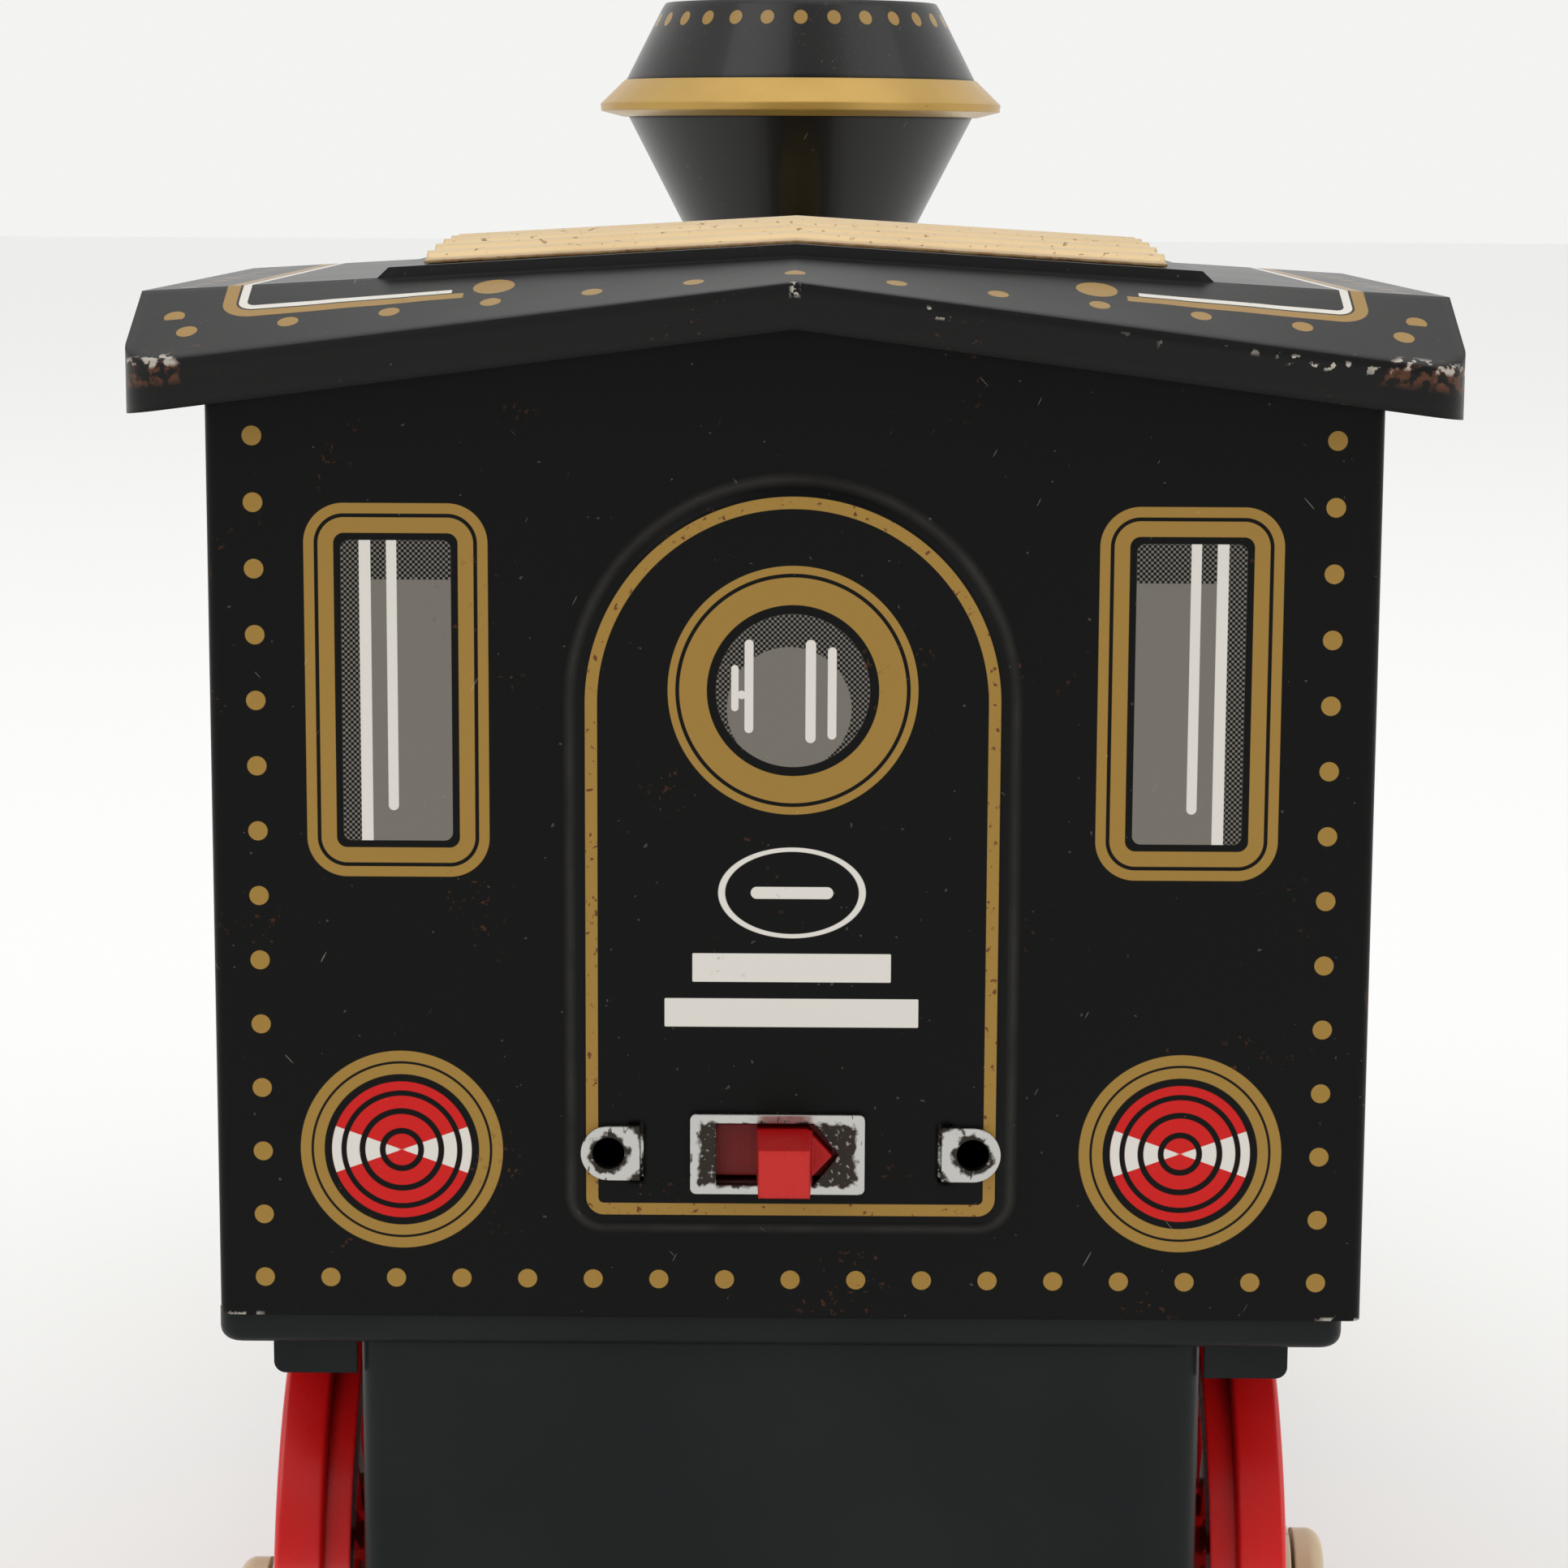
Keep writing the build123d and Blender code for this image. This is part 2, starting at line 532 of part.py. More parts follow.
def cylinder_right():
    """A pressed dummy cylinder with its valve chest and the stub of its rod."""
    y = (TRUCK_Y - 18, TRUCK_Y + 18)
    body = bar_y(43.0, y, WHEEL_RADIUS + 1.5, 8.5)
    for end in (-1, 1):
        face = TRUCK_Y + end * 18
        body += bar_y(43.0, sorted((face, face + end * 1.8)), WHEEL_RADIUS + 1.5, 7.2)
    body = fillet(body.edges().filter_by(GeomType.CIRCLE), 0.5)
    chest = block((36.5, 49.5), (y[0] + 3, y[1] - 3), (34.0, 48.4))
    chest = fillet(chest.edges().filter_by(Axis.Y), 1.5)
    rod = bar_y(43.0, (TRUCK_Y + 19, TRUCK_Y + 31), WHEEL_RADIUS + 1.5, 1.5)
    return body + chest + rod


def cylinder_saddle():
    plate = block((-48, 48), (TRUCK_Y - 12, TRUCK_Y + 12), (48.4, 50.0))
    plate = fillet(plate.edges().filter_by(Axis.Z), 3.0)
    for side in (-1, 1):
        for end in (-1, 1):
            plate -= bar_z(side * 20.0, TRUCK_Y + end * 7.5, (47, 52), 1.5)
    return plate - bar_z(0, TRUCK_Y, (47, 52), 2.5)


# ---- gears and motor ---------------------------------------------------------------------

def gear(teeth, x, centre, phase, bore):
    """A spur gear across X, with a tooth at the angle phase in degrees."""
    pitch = MODULE * teeth / 2
    tip = pitch + 0.75 * MODULE
    root = pitch - 1.1 * MODULE
    share = 2 * pi / teeth
    points = []
    for i in range(teeth):
        middle = radians(phase) + i * share
        for radius, turn in ((root, -0.29), (tip, -0.10), (tip, 0.10), (root, 0.29)):
            angle = middle + turn * share
            points.append((centre[0] + radius * cos(angle), centre[1] + radius * sin(angle)))
    outline = Plane.YZ.offset(x[0]) * make_face(Polyline(*points, close=True))
    return extrude(outline, x[1] - x[0]) - bar_x((x[0] - 1, x[1] + 1), *centre, bore)


def gear_centres():
    """Centres of the driven wheel, the idler and the motor pinion."""
    axle = (DRIVEN_Y, WHEEL_RADIUS)
    first = MODULE * (WHEEL_TEETH + IDLER_TEETH[1]) / 2 + 0.05
    second = MODULE * (IDLER_TEETH[0] + PINION_TEETH) / 2 + 0.05
    idler = (axle[0] + first * cos(radians(IDLER_ANGLE)), axle[1] + first * sin(radians(IDLER_ANGLE)))
    motor = (idler[0] + second * cos(radians(MOTOR_ANGLE)), idler[1] + second * sin(radians(MOTOR_ANGLE)))
    return axle, idler, motor


def axle_gear():
    """The large gear pressed on the driven axle, with its hub."""
    axle = gear_centres()[0]
    hub = bar_x((19.0, 21.5), *axle, 4.0) - bar_x((18.0, 22.0), *axle, AXLE_RADIUS)
    return gear(WHEEL_TEETH, (21.5, 24.5), axle, IDLER_ANGLE, AXLE_RADIUS) + hub


def idler_gear():
    centre = gear_centres()[1]
    small = gear(IDLER_TEETH[1], (20.2, 25.0), centre, IDLER_ANGLE + 180 + 180 / IDLER_TEETH[1], 1.6)
    return small + gear(IDLER_TEETH[0], (17.2, 20.2), centre, MOTOR_ANGLE, 1.6)


def motor_pinion():
    centre = gear_centres()[2]
    return gear(PINION_TEETH, (17.0, 20.4), centre, MOTOR_ANGLE + 180 + 180 / PINION_TEETH, 1.0)


def motor_shaft():
    return bar_x((-12.0, 20.8), *gear_centres()[2], 1.0)


def motor_can():
    centre = gear_centres()[2]
    can = bar_x((-15.0, 15.5), *centre, 12.0)
    can = fillet(can.edges(), 1.0)
    flat = block((-20, 20), (centre[0] - 20, centre[0] + 20), (centre[1] + 10.0, centre[1] + 20))
    can -= flat
    can -= bar_x((-12.6, 16), *centre, 1.1)
    return can + bar_x((-17.0, -15.0), *centre, 3.5)


def gearbox_plates():
    """The plates that hold axle and motor, the idler's pin and the hanger on the far side."""
    axle, idler, motor = gear_centres()
    plates = []
    for x in ((15.5, 16.5), (25.5, 26.5)):
        plate = block(x, (motor[0] - 8.0, axle[0] + 8.0), (44.0, DECK - SHEET))
        plate += block(x, (idler[0] - 6, axle[0] + 8.0), (WHEEL_RADIUS, 45.0))
        plate += bar_x(x, *axle, 8.0)
        plate += bar_x(x, *motor, 9.0)
        plate -= bar_x((x[0] - 1, x[1] + 1), *axle, AXLE_RADIUS + 0.06)
        plate -= bar_x((x[0] - 1, x[1] + 1), *idler, 1.5)
        plates.append(plate - bar_x((x[0] - 1, x[1] + 1), *motor, 1.1))
    hanger = block((-26.5, -25.5), (40.0, 56.0), (WHEEL_RADIUS, DECK - SHEET))
    hanger += bar_x((-26.5, -25.5), *axle, 8.0)
    hanger -= bar_x((-28, -24), *axle, AXLE_RADIUS + 0.06)
    return Compound([*plates, bar_x((15.5, 26.5), *idler, 1.5), hanger])


# ---- boiler ------------------------------------------------------------------------------

def boiler_shell():
    run = (SMOKEBOX_REAR, FRONT_WALL - 0.1)
    tube = bar_y(0, run, BOILER_Z, BOILER_RADIUS)
    for y in BAND_PLACES:
        tube += bar_y(0, (y - 1.6, y + 1.6), BOILER_Z, BOILER_RADIUS + 0.25)
    return tube - bar_y(0, (run[0] - 1, run[1] + 1), BOILER_Z, BOILER_RADIUS - SHEET)


def smokebox():
    run = (SMOKEBOX_FRONT, SMOKEBOX_REAR)
    tube = bar_y(0, run, BOILER_Z, BOILER_RADIUS + 0.25)
    tube = fillet(tube.edges().group_by(Axis.Y)[0], 1.2)
    return tube - bar_y(0, (run[0] + 1.0, run[1] + 1), BOILER_Z, BOILER_RADIUS + 0.25 - SHEET)


def smokebox_door():
    """The round front door with two hinge straps and a closing handle."""
    face = SMOKEBOX_FRONT
    disc = bar_y(0, (face - 2.4, face), BOILER_Z, 22.0)
    disc = fillet(disc.edges().group_by(Axis.Y)[0], 1.4)
    disc += bar_y(0, (face - 4.2, face), BOILER_Z, 3.2)
    for side in (-1, 1):
        z = BOILER_Z + side * 8.0
        disc += block((0, 23.0), (face - 3.1, face - 1), (z - 1.3, z + 1.3))
    disc += bar_z(23.0, face - 1.7, (BOILER_Z - 11, BOILER_Z + 11), 1.4)
    handle = block((-1.0, 1.0), (face - 5.4, face - 4.2), (BOILER_Z - 8, BOILER_Z + 1.5))
    return disc + handle


def stack_base():
    """The lower cone and its tube, cut to sit on the boiler."""
    shape = turned([(0, 112), (14, 112), (14, 119.5), (9.6, 123.5), (9.0, 137.0), (15.6, 149.6), (21.9, 161.8),
                    (20.9, 161.8), (14.8, 150.0), (8.0, 137.4), (0, 137.4)], y=STACK_Y)
    return shape - bar_y(0, (STACK_Y - 20, STACK_Y + 20), BOILER_Z, BOILER_RADIUS)


def stack_ring():
    points = [(19.0, 161.8), (22.6, 161.8), (25.4, 162.5), (25.5, 163.4), (22.4, 166.4), (19.0, 166.4)]
    return turned(points, y=STACK_Y)


def stack_top():
    points = [(19.2, 166.4), (22.2, 166.4), (17.6, 175.4), (17.2, 176.0)]
    points += [(16.4, 176.0), (15.8, 175.2), (19.2, 167.8)]
    return turned(points, y=STACK_Y)


def stack_screen():
    """The dished mesh plate inside the cap."""
    return turned([(0, 164.4), (19.0, 164.4), (19.0, 165.4), (0, 167.2)], y=STACK_Y)


def dome(y, radius, height):
    foot = BOILER_Z + BOILER_RADIUS
    lift = foot + height
    shoulder = radius - 2.0
    body = turned([(0, foot - 9), (radius + 2.2, foot - 9), (radius + 2.2, foot - 1.5), (radius, foot + 1.5),
                   (shoulder, foot + 4.5), (shoulder, lift - 7.0), (radius - 0.8, lift - 6.0),
                   (radius - 0.8, lift - 4.6), (shoulder - 0.6, lift - 3.2), (shoulder * 0.62, lift - 0.9),
                   (2.4, lift), (2.4, lift + 1.4), (0, lift + 2.0)], y=y)
    return body - bar_y(0, (y - 30, y + 30), BOILER_Z, BOILER_RADIUS + 0.02)


def bell_yoke():
    """The two-legged stand that the bell hangs in."""
    foot = BOILER_Z + BOILER_RADIUS
    stand = block((-11, 11), (BELL_Y - 3, BELL_Y + 3), (foot - 4, foot + 1.2))
    for side in (-1, 1):
        stand += block(sorted((side * 8.8, side * 10.6)), (BELL_Y - 1.8, BELL_Y + 1.8), (foot - 2, foot + 13.4))
        stand += bar_x(sorted((side * 8.8, side * 10.6)), BELL_Y, foot + 13.4, 1.8)
    stand -= bar_x((-12, 12), BELL_Y, foot + 13.4, 0.96)
    return stand - bar_y(0, (BELL_Y - 9, BELL_Y + 9), BOILER_Z, BOILER_RADIUS + 0.02)


def bell():
    top = BOILER_Z + BOILER_RADIUS + 13.4
    cup = turned([(0, top + 1.6), (1.6, top + 1.4), (2.6, top - 0.2), (4.2, top - 1.4), (4.9, top - 4.0),
                  (5.6, top - 7.0), (7.2, top - 9.6), (6.2, top - 9.6), (4.6, top - 7.0), (3.8, top - 4.2),
                  (2.2, top - 2.6), (0, top - 2.4)], y=BELL_Y)
    return cup + bar_x((-10.4, 10.4), BELL_Y, top, 0.9)


def handrail_right():
    run = (-76.0, FRONT_WALL - 0.4)
    rail = bar_y(RAIL_X, run, RAIL_Z, 0.8)
    for y in (-70.0, -36.0, -2.0, 32.0, 60.0):
        rail += Pos(RAIL_X, y, RAIL_Z) * Sphere(1.5)
        rail += bar_x((24.0, RAIL_X), y, RAIL_Z, 0.8)
    return rail - bar_y(0, (-90, 80), BOILER_Z, BOILER_RADIUS + 0.25)


def headlamp_bracket():
    foot = BOILER_Z + BOILER_RADIUS + 0.25
    plate = block((-8, 8), (-79.0, -66.0), (foot - 2.5, foot + 1.8))
    plate += block((-5, 5), (-76.0, -68.0), (foot, foot + 5.4))
    plate -= bar_y(0, (-85, -60), LAMP_Z, 9.0)
    return plate - bar_y(0, (-85, -60), BOILER_Z, BOILER_RADIUS + 0.25)


def headlamp_body():
    body = bar_y(0, (-84.0, -66.0), LAMP_Z, 9.0)
    body += bar_y(0, (-86.0, -82.5), LAMP_Z, 10.0)
    body -= bar_y(0, (-87.0, -70.0), LAMP_Z, 8.0)
    body += bar_z(0, -75.0, (LAMP_Z + 8.4, LAMP_Z + 11.5), 3.0)
    return body - bar_y(0, (-72, -60), LAMP_Z, 2.6)


def headlamp_lens():
    return bar_y(0, (-84.8, -83.6), LAMP_Z, 8.0)


def headlamp_bulb():
    return Pos(0, -76.6, LAMP_Z) * Sphere(3.0) + bar_y(0, (-75.0, -65.0), LAMP_Z, 2.5)


def saddle_screws():
    """Four screws, heads down, that hold the cylinders to the saddle plate."""
    screws = []
    for side in (-1, 1):
        for end in (-1, 1):
            x = side * 20.0
            y = TRUCK_Y + end * 7.5
            head = fillet(bar_z(x, y, (46.9, 48.4), 2.6).edges().group_by(Axis.Z)[0], 0.6)
            screws.append(head + bar_z(x, y, (48.0, 51.5), 1.5))
    return Compound(screws)


CHASSIS = {
    "battery_box": battery_box, "battery_lid": battery_lid, "lid_pin": lid_pin,
    "battery_contacts": battery_contacts,
    "frame_channel": frame_channel, "pilot_beam": pilot_beam, "pilot": pilot,
    "cab_pan": cab_pan, "running_board": running_board, "truck_frame": truck_frame,
    "truck_pivot": truck_pivot, "cylinder_saddle": cylinder_saddle, "driven_axle": driven_axle,
    "axle_gear": axle_gear, "idler_gear": idler_gear, "motor_pinion": motor_pinion,
    "motor_shaft": motor_shaft, "motor_can": motor_can, "gearbox_plates": gearbox_plates,
    "saddle_screws": saddle_screws,
}
SUPERSTRUCTURE = {
    "cab_shell": cab_shell, "cab_roof": cab_roof, "roof_vent": roof_vent,
    "switch_bezel": switch_bezel, "switch_housing": switch_housing, "switch_slider": switch_slider,
    "lug_strap": lug_strap, "boiler_shell": boiler_shell, "smokebox": smokebox,
    "smokebox_door": smokebox_door, "stack_base": stack_base, "stack_ring": stack_ring,
    "stack_top": stack_top, "stack_screen": stack_screen, "bell_yoke": bell_yoke, "bell": bell,
    "headlamp_bracket": headlamp_bracket, "headlamp_body": headlamp_body,
    "headlamp_lens": headlamp_lens, "headlamp_bulb": headlamp_bulb,
}


def chassis_pieces():
    """Every piece of the chassis by name, before the chassis offset."""
    pieces = {name: make() for name, make in CHASSIS.items()}
    for side, angle in CRANK_ANGLES.items():
        place = mirrored if side == "left" else (lambda shape: shape)
        pieces[f"driven_wheel_{side}"] = place(driver_right(DRIVEN_Y, angle, AXLE_RADIUS))
        pieces[f"trailing_wheel_{side}"] = place(driver_right(TRAILING_Y, angle, AXLE_RADIUS + 0.08))
        pieces[f"trailing_pin_{side}"] = place(crank_pin_right(TRAILING_Y, angle))
        pieces[f"side_rod_{side}"] = place(side_rod_right(angle))
    driven_pins = [crank_pin_right(DRIVEN_Y, CRANK_ANGLES["right"])]
    driven_pins.append(mirrored(crank_pin_right(DRIVEN_Y, CRANK_ANGLES["left"])))
    pieces["driven_pins"] = Compound(driven_pins)
    pieces["battery_cells"] = Compound([battery_cell(-1), battery_cell(1)])
    pairs = {"fenders": fender_right(), "axle_studs": axle_stud_right(), "cylinders": cylinder_right()}
    for name, shape in pairs.items():
        pieces[name] = Compound([shape, mirrored(shape)])
    for name, end in (("front", -1), ("rear", 1)):
        pieces[f"truck_axle_{name}"] = truck_axle(end)
        pieces[f"truck_wheels_{name}"] = truck_wheels(end)
    return pieces


def all_pieces():
    pieces = {name: Pos(CHASSIS_OFFSET, 0, 0) * shape for name, shape in chassis_pieces().items()}
    pieces.update({name: make() for name, make in SUPERSTRUCTURE.items()})
    pieces.update({name: dome(*place) for name, place in DOME_PLACES.items()})
    pieces["handrails"] = Compound([handrail_right(), mirrored(handrail_right())])
    return pieces


if __name__ == "__main__":
    os.makedirs("parts", exist_ok=True)
    for name, shape in all_pieces().items():
        export_step(shape, f"parts/{name}.step")
        print(name, round(shape.volume, 1))
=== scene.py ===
"""Looks of a printed-tin toy locomotive: inks, finishes, small made pieces, light and camera."""

from __future__ import annotations

import json
import logging
import math
from dataclasses import dataclass
from enum import Enum
from typing import Callable

import bmesh
import bpy
from mathutils import Euler, Matrix, Vector

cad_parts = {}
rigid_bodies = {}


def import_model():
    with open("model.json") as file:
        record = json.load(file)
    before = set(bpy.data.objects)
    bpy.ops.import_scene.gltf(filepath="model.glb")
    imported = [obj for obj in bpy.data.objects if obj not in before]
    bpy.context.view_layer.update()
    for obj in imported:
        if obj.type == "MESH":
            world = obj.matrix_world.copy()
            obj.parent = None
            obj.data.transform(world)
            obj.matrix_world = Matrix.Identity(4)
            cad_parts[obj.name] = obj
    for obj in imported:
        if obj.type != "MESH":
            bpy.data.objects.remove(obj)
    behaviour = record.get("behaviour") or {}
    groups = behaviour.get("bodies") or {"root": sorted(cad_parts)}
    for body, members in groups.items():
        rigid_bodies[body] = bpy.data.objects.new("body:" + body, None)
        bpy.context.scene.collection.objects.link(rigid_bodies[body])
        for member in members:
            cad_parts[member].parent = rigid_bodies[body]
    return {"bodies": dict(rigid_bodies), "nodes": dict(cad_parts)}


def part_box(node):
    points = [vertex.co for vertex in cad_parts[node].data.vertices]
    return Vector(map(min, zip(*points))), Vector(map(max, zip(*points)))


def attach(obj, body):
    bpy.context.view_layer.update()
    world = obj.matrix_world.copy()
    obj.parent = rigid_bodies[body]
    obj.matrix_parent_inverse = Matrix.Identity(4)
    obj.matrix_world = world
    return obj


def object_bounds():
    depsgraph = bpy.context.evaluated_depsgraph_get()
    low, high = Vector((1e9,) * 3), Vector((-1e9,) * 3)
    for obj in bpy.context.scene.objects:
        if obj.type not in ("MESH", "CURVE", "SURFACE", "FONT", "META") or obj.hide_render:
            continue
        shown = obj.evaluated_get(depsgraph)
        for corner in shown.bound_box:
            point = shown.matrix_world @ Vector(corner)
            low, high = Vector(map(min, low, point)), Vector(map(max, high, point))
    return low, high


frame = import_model()
LOG = logging.getLogger("locomotive")
MM = 0.001


def clear_start_objects() -> None:
    """Remove the objects that a new file starts with."""
    known = set(frame["nodes"].values()) | set(frame["bodies"].values())
    for thing in [o for o in bpy.data.objects if o not in known]:
        bpy.data.objects.remove(thing)


def span_of(node: str) -> tuple[Vector, Vector]:
    """Lowest and highest corner of a node in millimetres."""
    low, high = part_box(node)
    return low / MM, high / MM


clear_start_objects()
CAD_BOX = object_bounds()
CAB_LOW, CAB_HIGH = span_of("cab_shell")
ROOF_LOW, ROOF_HIGH = span_of("cab_roof")
BOILER_LOW, BOILER_HIGH = span_of("boiler_shell")
STACK_LOW, STACK_HIGH = span_of("stack_top")
DOOR_RAISE = 1.1
DECK = span_of("running_board")[1].z
REAR = CAB_HIGH.y - DOOR_RAISE
BOILER_Z = (BOILER_LOW.z + BOILER_HIGH.z) / 2
STACK_Y = (STACK_LOW.y + STACK_HIGH.y) / 2
EDGE = 0.05
SCREEN_PITCH = 14.0

Socket = bpy.types.NodeSocket
Material = bpy.types.Material
Operand = Socket | float
Pair = tuple[float, float]
Triple = tuple[float, float, float]
Colour = Triple


class Side(Enum):
    """The two sides of the toy, as the sign of X."""

    RIGHT = 1
    LEFT = -1


class Ink(Enum):
    """Flat printing inks, as linear colours."""

    BLACK = (0.0032, 0.0036, 0.0032)
    GOLD = (0.31, 0.182, 0.042)
    WHITE = (0.66, 0.63, 0.58)
    GLASS_GREY = (0.168, 0.154, 0.134)
    RED = (0.54, 0.014, 0.013)
    BROWN = (0.20, 0.055, 0.020)
    CREAM = (0.66, 0.56, 0.40)
    RUST = (0.13, 0.045, 0.018)
    BARE_TIN = (0.42, 0.38, 0.33)


class Finish:
    """One material under construction: its nodes, with sockets or numbers as operands."""

    def __init__(self, name: str, roughness: float = 0.4, metallic: float = 0.0, coat: float = 0.0,
                 gloss: float = 0.5) -> None:
        """Start a material.

        Args:
            name: The material's name.
            roughness: Uniform roughness, set on the shader itself.
            metallic: Uniform metallic value.
            coat: Weight of the clear varnish over the colour.
            gloss: Level of the mirror reflection, 0.5 for common plastic.
        """
        self.material = bpy.data.materials.new(name)
        self.material.use_nodes = True
        self.tree = self.material.node_tree
        self.shader = self.tree.nodes["Principled BSDF"]
        self.shader.inputs["Roughness"].default_value = roughness
        self.shader.inputs["Metallic"].default_value = metallic
        self.shader.inputs["Coat Weight"].default_value = coat
        self.shader.inputs["Coat Roughness"].default_value = 0.12
        self.shader.inputs["Specular IOR Level"].default_value = gloss
        self.coords = self.tree.nodes.new("ShaderNodeTexCoord").outputs["Object"]
        scaled = self._node("ShaderNodeVectorMath", operation="SCALE")
        scaled.inputs["Scale"].default_value = 1.0 / MM
        self.tree.links.new(self.coords, scaled.inputs[0])
        self.millimetres = scaled.outputs[0]
        split = self.tree.nodes.new("ShaderNodeSeparateXYZ")
        self.tree.links.new(self.millimetres, split.inputs[0])
        self.x, self.y, self.z = split.outputs

    def _node(self, kind: str, **settings: str) -> bpy.types.Node:
        """Add a node and set its options."""
        node = self.tree.nodes.new(kind)
        for key, value in settings.items():
            setattr(node, key, value)
        return node

    def _plug(self, socket: Socket, value: Operand) -> None:
        """Link a socket or set a plain number or colour."""
        if isinstance(value, Socket):
            self.tree.links.new(value, socket)
        elif isinstance(value, tuple):
            socket.default_value = (*value, 1.0)
        else:
            socket.default_value = value

    def calc(self, operation: str, *operands: Operand) -> Socket:
        """Return the output of one math node.

        Args:
            operation: Blender's name of the operation.
            operands: Its one to three inputs.

        Returns:
            The socket with the result.
        """
        node = self._node("ShaderNodeMath", operation=operation)
        for socket, value in zip(node.inputs, operands):
            self._plug(socket, value)
        return node.outputs[0]

    def minus(self, a: Operand, b: Operand) -> Socket:
        """The difference a - b."""
        return self.calc("SUBTRACT", a, b)

    def times(self, a: Operand, b: Operand) -> Socket:
        """The product of a and b."""
        return self.calc("MULTIPLY", a, b)

    def size(self, a: Operand) -> Socket:
        """The value of a without its sign."""
        return self.calc("ABSOLUTE", a)

    def away(self, a: Operand, b: float) -> Socket:
        """Distance of a from the number b."""
        return self.size(self.minus(a, b))

    def length(self, a: Operand, b: Operand) -> Socket:
        """Length of the flat vector (a, b)."""
        return self.calc("SQRT", self.calc("MULTIPLY_ADD", a, a, self.times(b, b)))

    def circle(self, u: Operand, v: Operand, centre: Pair) -> Socket:
        """Distance of (u, v) from a centre."""
        return self.length(self.minus(u, centre[0]), self.minus(v, centre[1]))

    def plate(self, u: Operand, v: Operand, centre: Pair, half: Pair,
              radius: float) -> Socket:
        """Signed distance to a rounded rectangle, negative inside.

        Args:
            u: Coordinate across.
            v: Coordinate up.
            centre: Its middle.
            half: Half its width and height.
            radius: Corner radius.

        Returns:
            The socket with the distance in millimetres.
        """
        across = self.minus(self.away(u, centre[0]), half[0] - radius)
        up = self.minus(self.away(v, centre[1]), half[1] - radius)
        outside = self.length(self.calc("MAXIMUM", across, 0.0), self.calc("MAXIMUM", up, 0.0))
        inside = self.calc("MINIMUM", self.calc("MAXIMUM", across, up), 0.0)
        return self.minus(self.calc("ADD", outside, inside), radius)

    def above(self, value: Operand, limit: float, soft: float = EDGE) -> Socket:
        """1 where the value is over the limit, with a narrow soft edge."""
        node = self._node("ShaderNodeMapRange")
        self._plug(node.inputs["Value"], value)
        node.inputs["From Min"].default_value = limit - soft / 2
        node.inputs["From Max"].default_value = limit + soft / 2
        return node.outputs[0]

    def below(self, value: Operand, limit: float, soft: float = EDGE) -> Socket:
        """1 where the value is under the limit, with a narrow soft edge."""
        return self.minus(1.0, self.above(value, limit, soft))

    def band(self, value: Operand, low: float, high: float, soft: float = EDGE) -> Socket:
        """1 where the value lies between two limits."""
        return self.times(self.above(value, low, soft), self.below(value, high, soft))

    def both(self, *masks: Operand) -> Socket:
        """The product of masks."""
        result = masks[0]
        for mask in masks[1:]:
            result = self.times(result, mask)
        return result

    def either(self, *masks: Operand) -> Socket:
        """The largest of masks."""
        result = masks[0]
        for mask in masks[1:]:
            result = self.calc("MAXIMUM", result, mask)
        return result

    def every(self, value: Operand, pitch: float, start: float = 0.0) -> Socket:
        """Distance from the nearest of evenly spaced places, one of them at start."""
        return self.calc("PINGPONG", self.minus(value, start - 1000 * pitch), pitch / 2)

    def noise(self, scale: float, detail: float = 3.0, stretch: Triple = (1, 1, 1),
              turn: Triple = (0, 0, 0)) -> Socket:
        """Fractal noise over millimetres.

        Args:
            scale: Features per millimetre.
            detail: Octaves.
            stretch: Factors along X, Y and Z.
            turn: Angles in degrees that the stretched grain is turned by.

        Returns:
            The socket with values about 0.5.
        """
        mapping = self._node("ShaderNodeMapping")
        self.tree.links.new(self.millimetres, mapping.inputs["Vector"])
        mapping.vector_type = "TEXTURE"
        mapping.inputs["Scale"].default_value = tuple(1 / amount for amount in stretch)
        mapping.inputs["Rotation"].default_value = tuple(math.radians(angle) for angle in turn)
        node = self._node("ShaderNodeTexNoise")
        self.tree.links.new(mapping.outputs[0], node.inputs["Vector"])
        node.inputs["Scale"].default_value = scale
        node.inputs["Detail"].default_value = detail
        return node.outputs["Fac"]

    def patchy(self, grain: tuple[float, ...], patch: tuple[float, ...]) -> Socket:
        """Specks that gather in patches.

        Args:
            grain: Scale, detail, limit and softness of the specks.
            patch: Scale, limit and softness of the patches.

        Returns:
            The mask.
        """
        specks = self.above(self.noise(grain[0], grain[1]), grain[2], grain[3])
        return self.both(specks, self.above(self.noise(patch[0], 2.0), patch[1], patch[2]))

    def halftone(self, u: Operand, v: Operand) -> Socket:
        """A fine screen of printed dots over (u, v)."""
        waves = [self.calc("SINE", self.times(value, SCREEN_PITCH)) for value in (u, v)]
        return self.above(self.times(*waves), -0.12, 0.5)

    def facing(self, axis: int) -> Socket:
        """The component of the surface's normal along one axis."""
        split = self._node("ShaderNodeSeparateXYZ")
        self.tree.links.new(self._node("ShaderNodeNewGeometry").outputs["Normal"], split.inputs[0])
        return split.outputs[axis]

    def over(self, ground: Socket | Colour, mask: Operand,
             ink: Ink | Colour | Socket) -> Socket:
        """Lay an ink on a ground where the mask is 1.

        Args:
            ground: What lies below.
            mask: Where the ink goes.
            ink: The ink, a plain colour or a colour socket.

        Returns:
            The new colour.
        """
        node = self._node("ShaderNodeMix", data_type="RGBA")
        self._plug(node.inputs["Factor"], mask)
        self._plug(node.inputs[6], ground)
        self._plug(node.inputs[7], ink.value if isinstance(ink, Ink) else ink)
        return node.outputs[2]

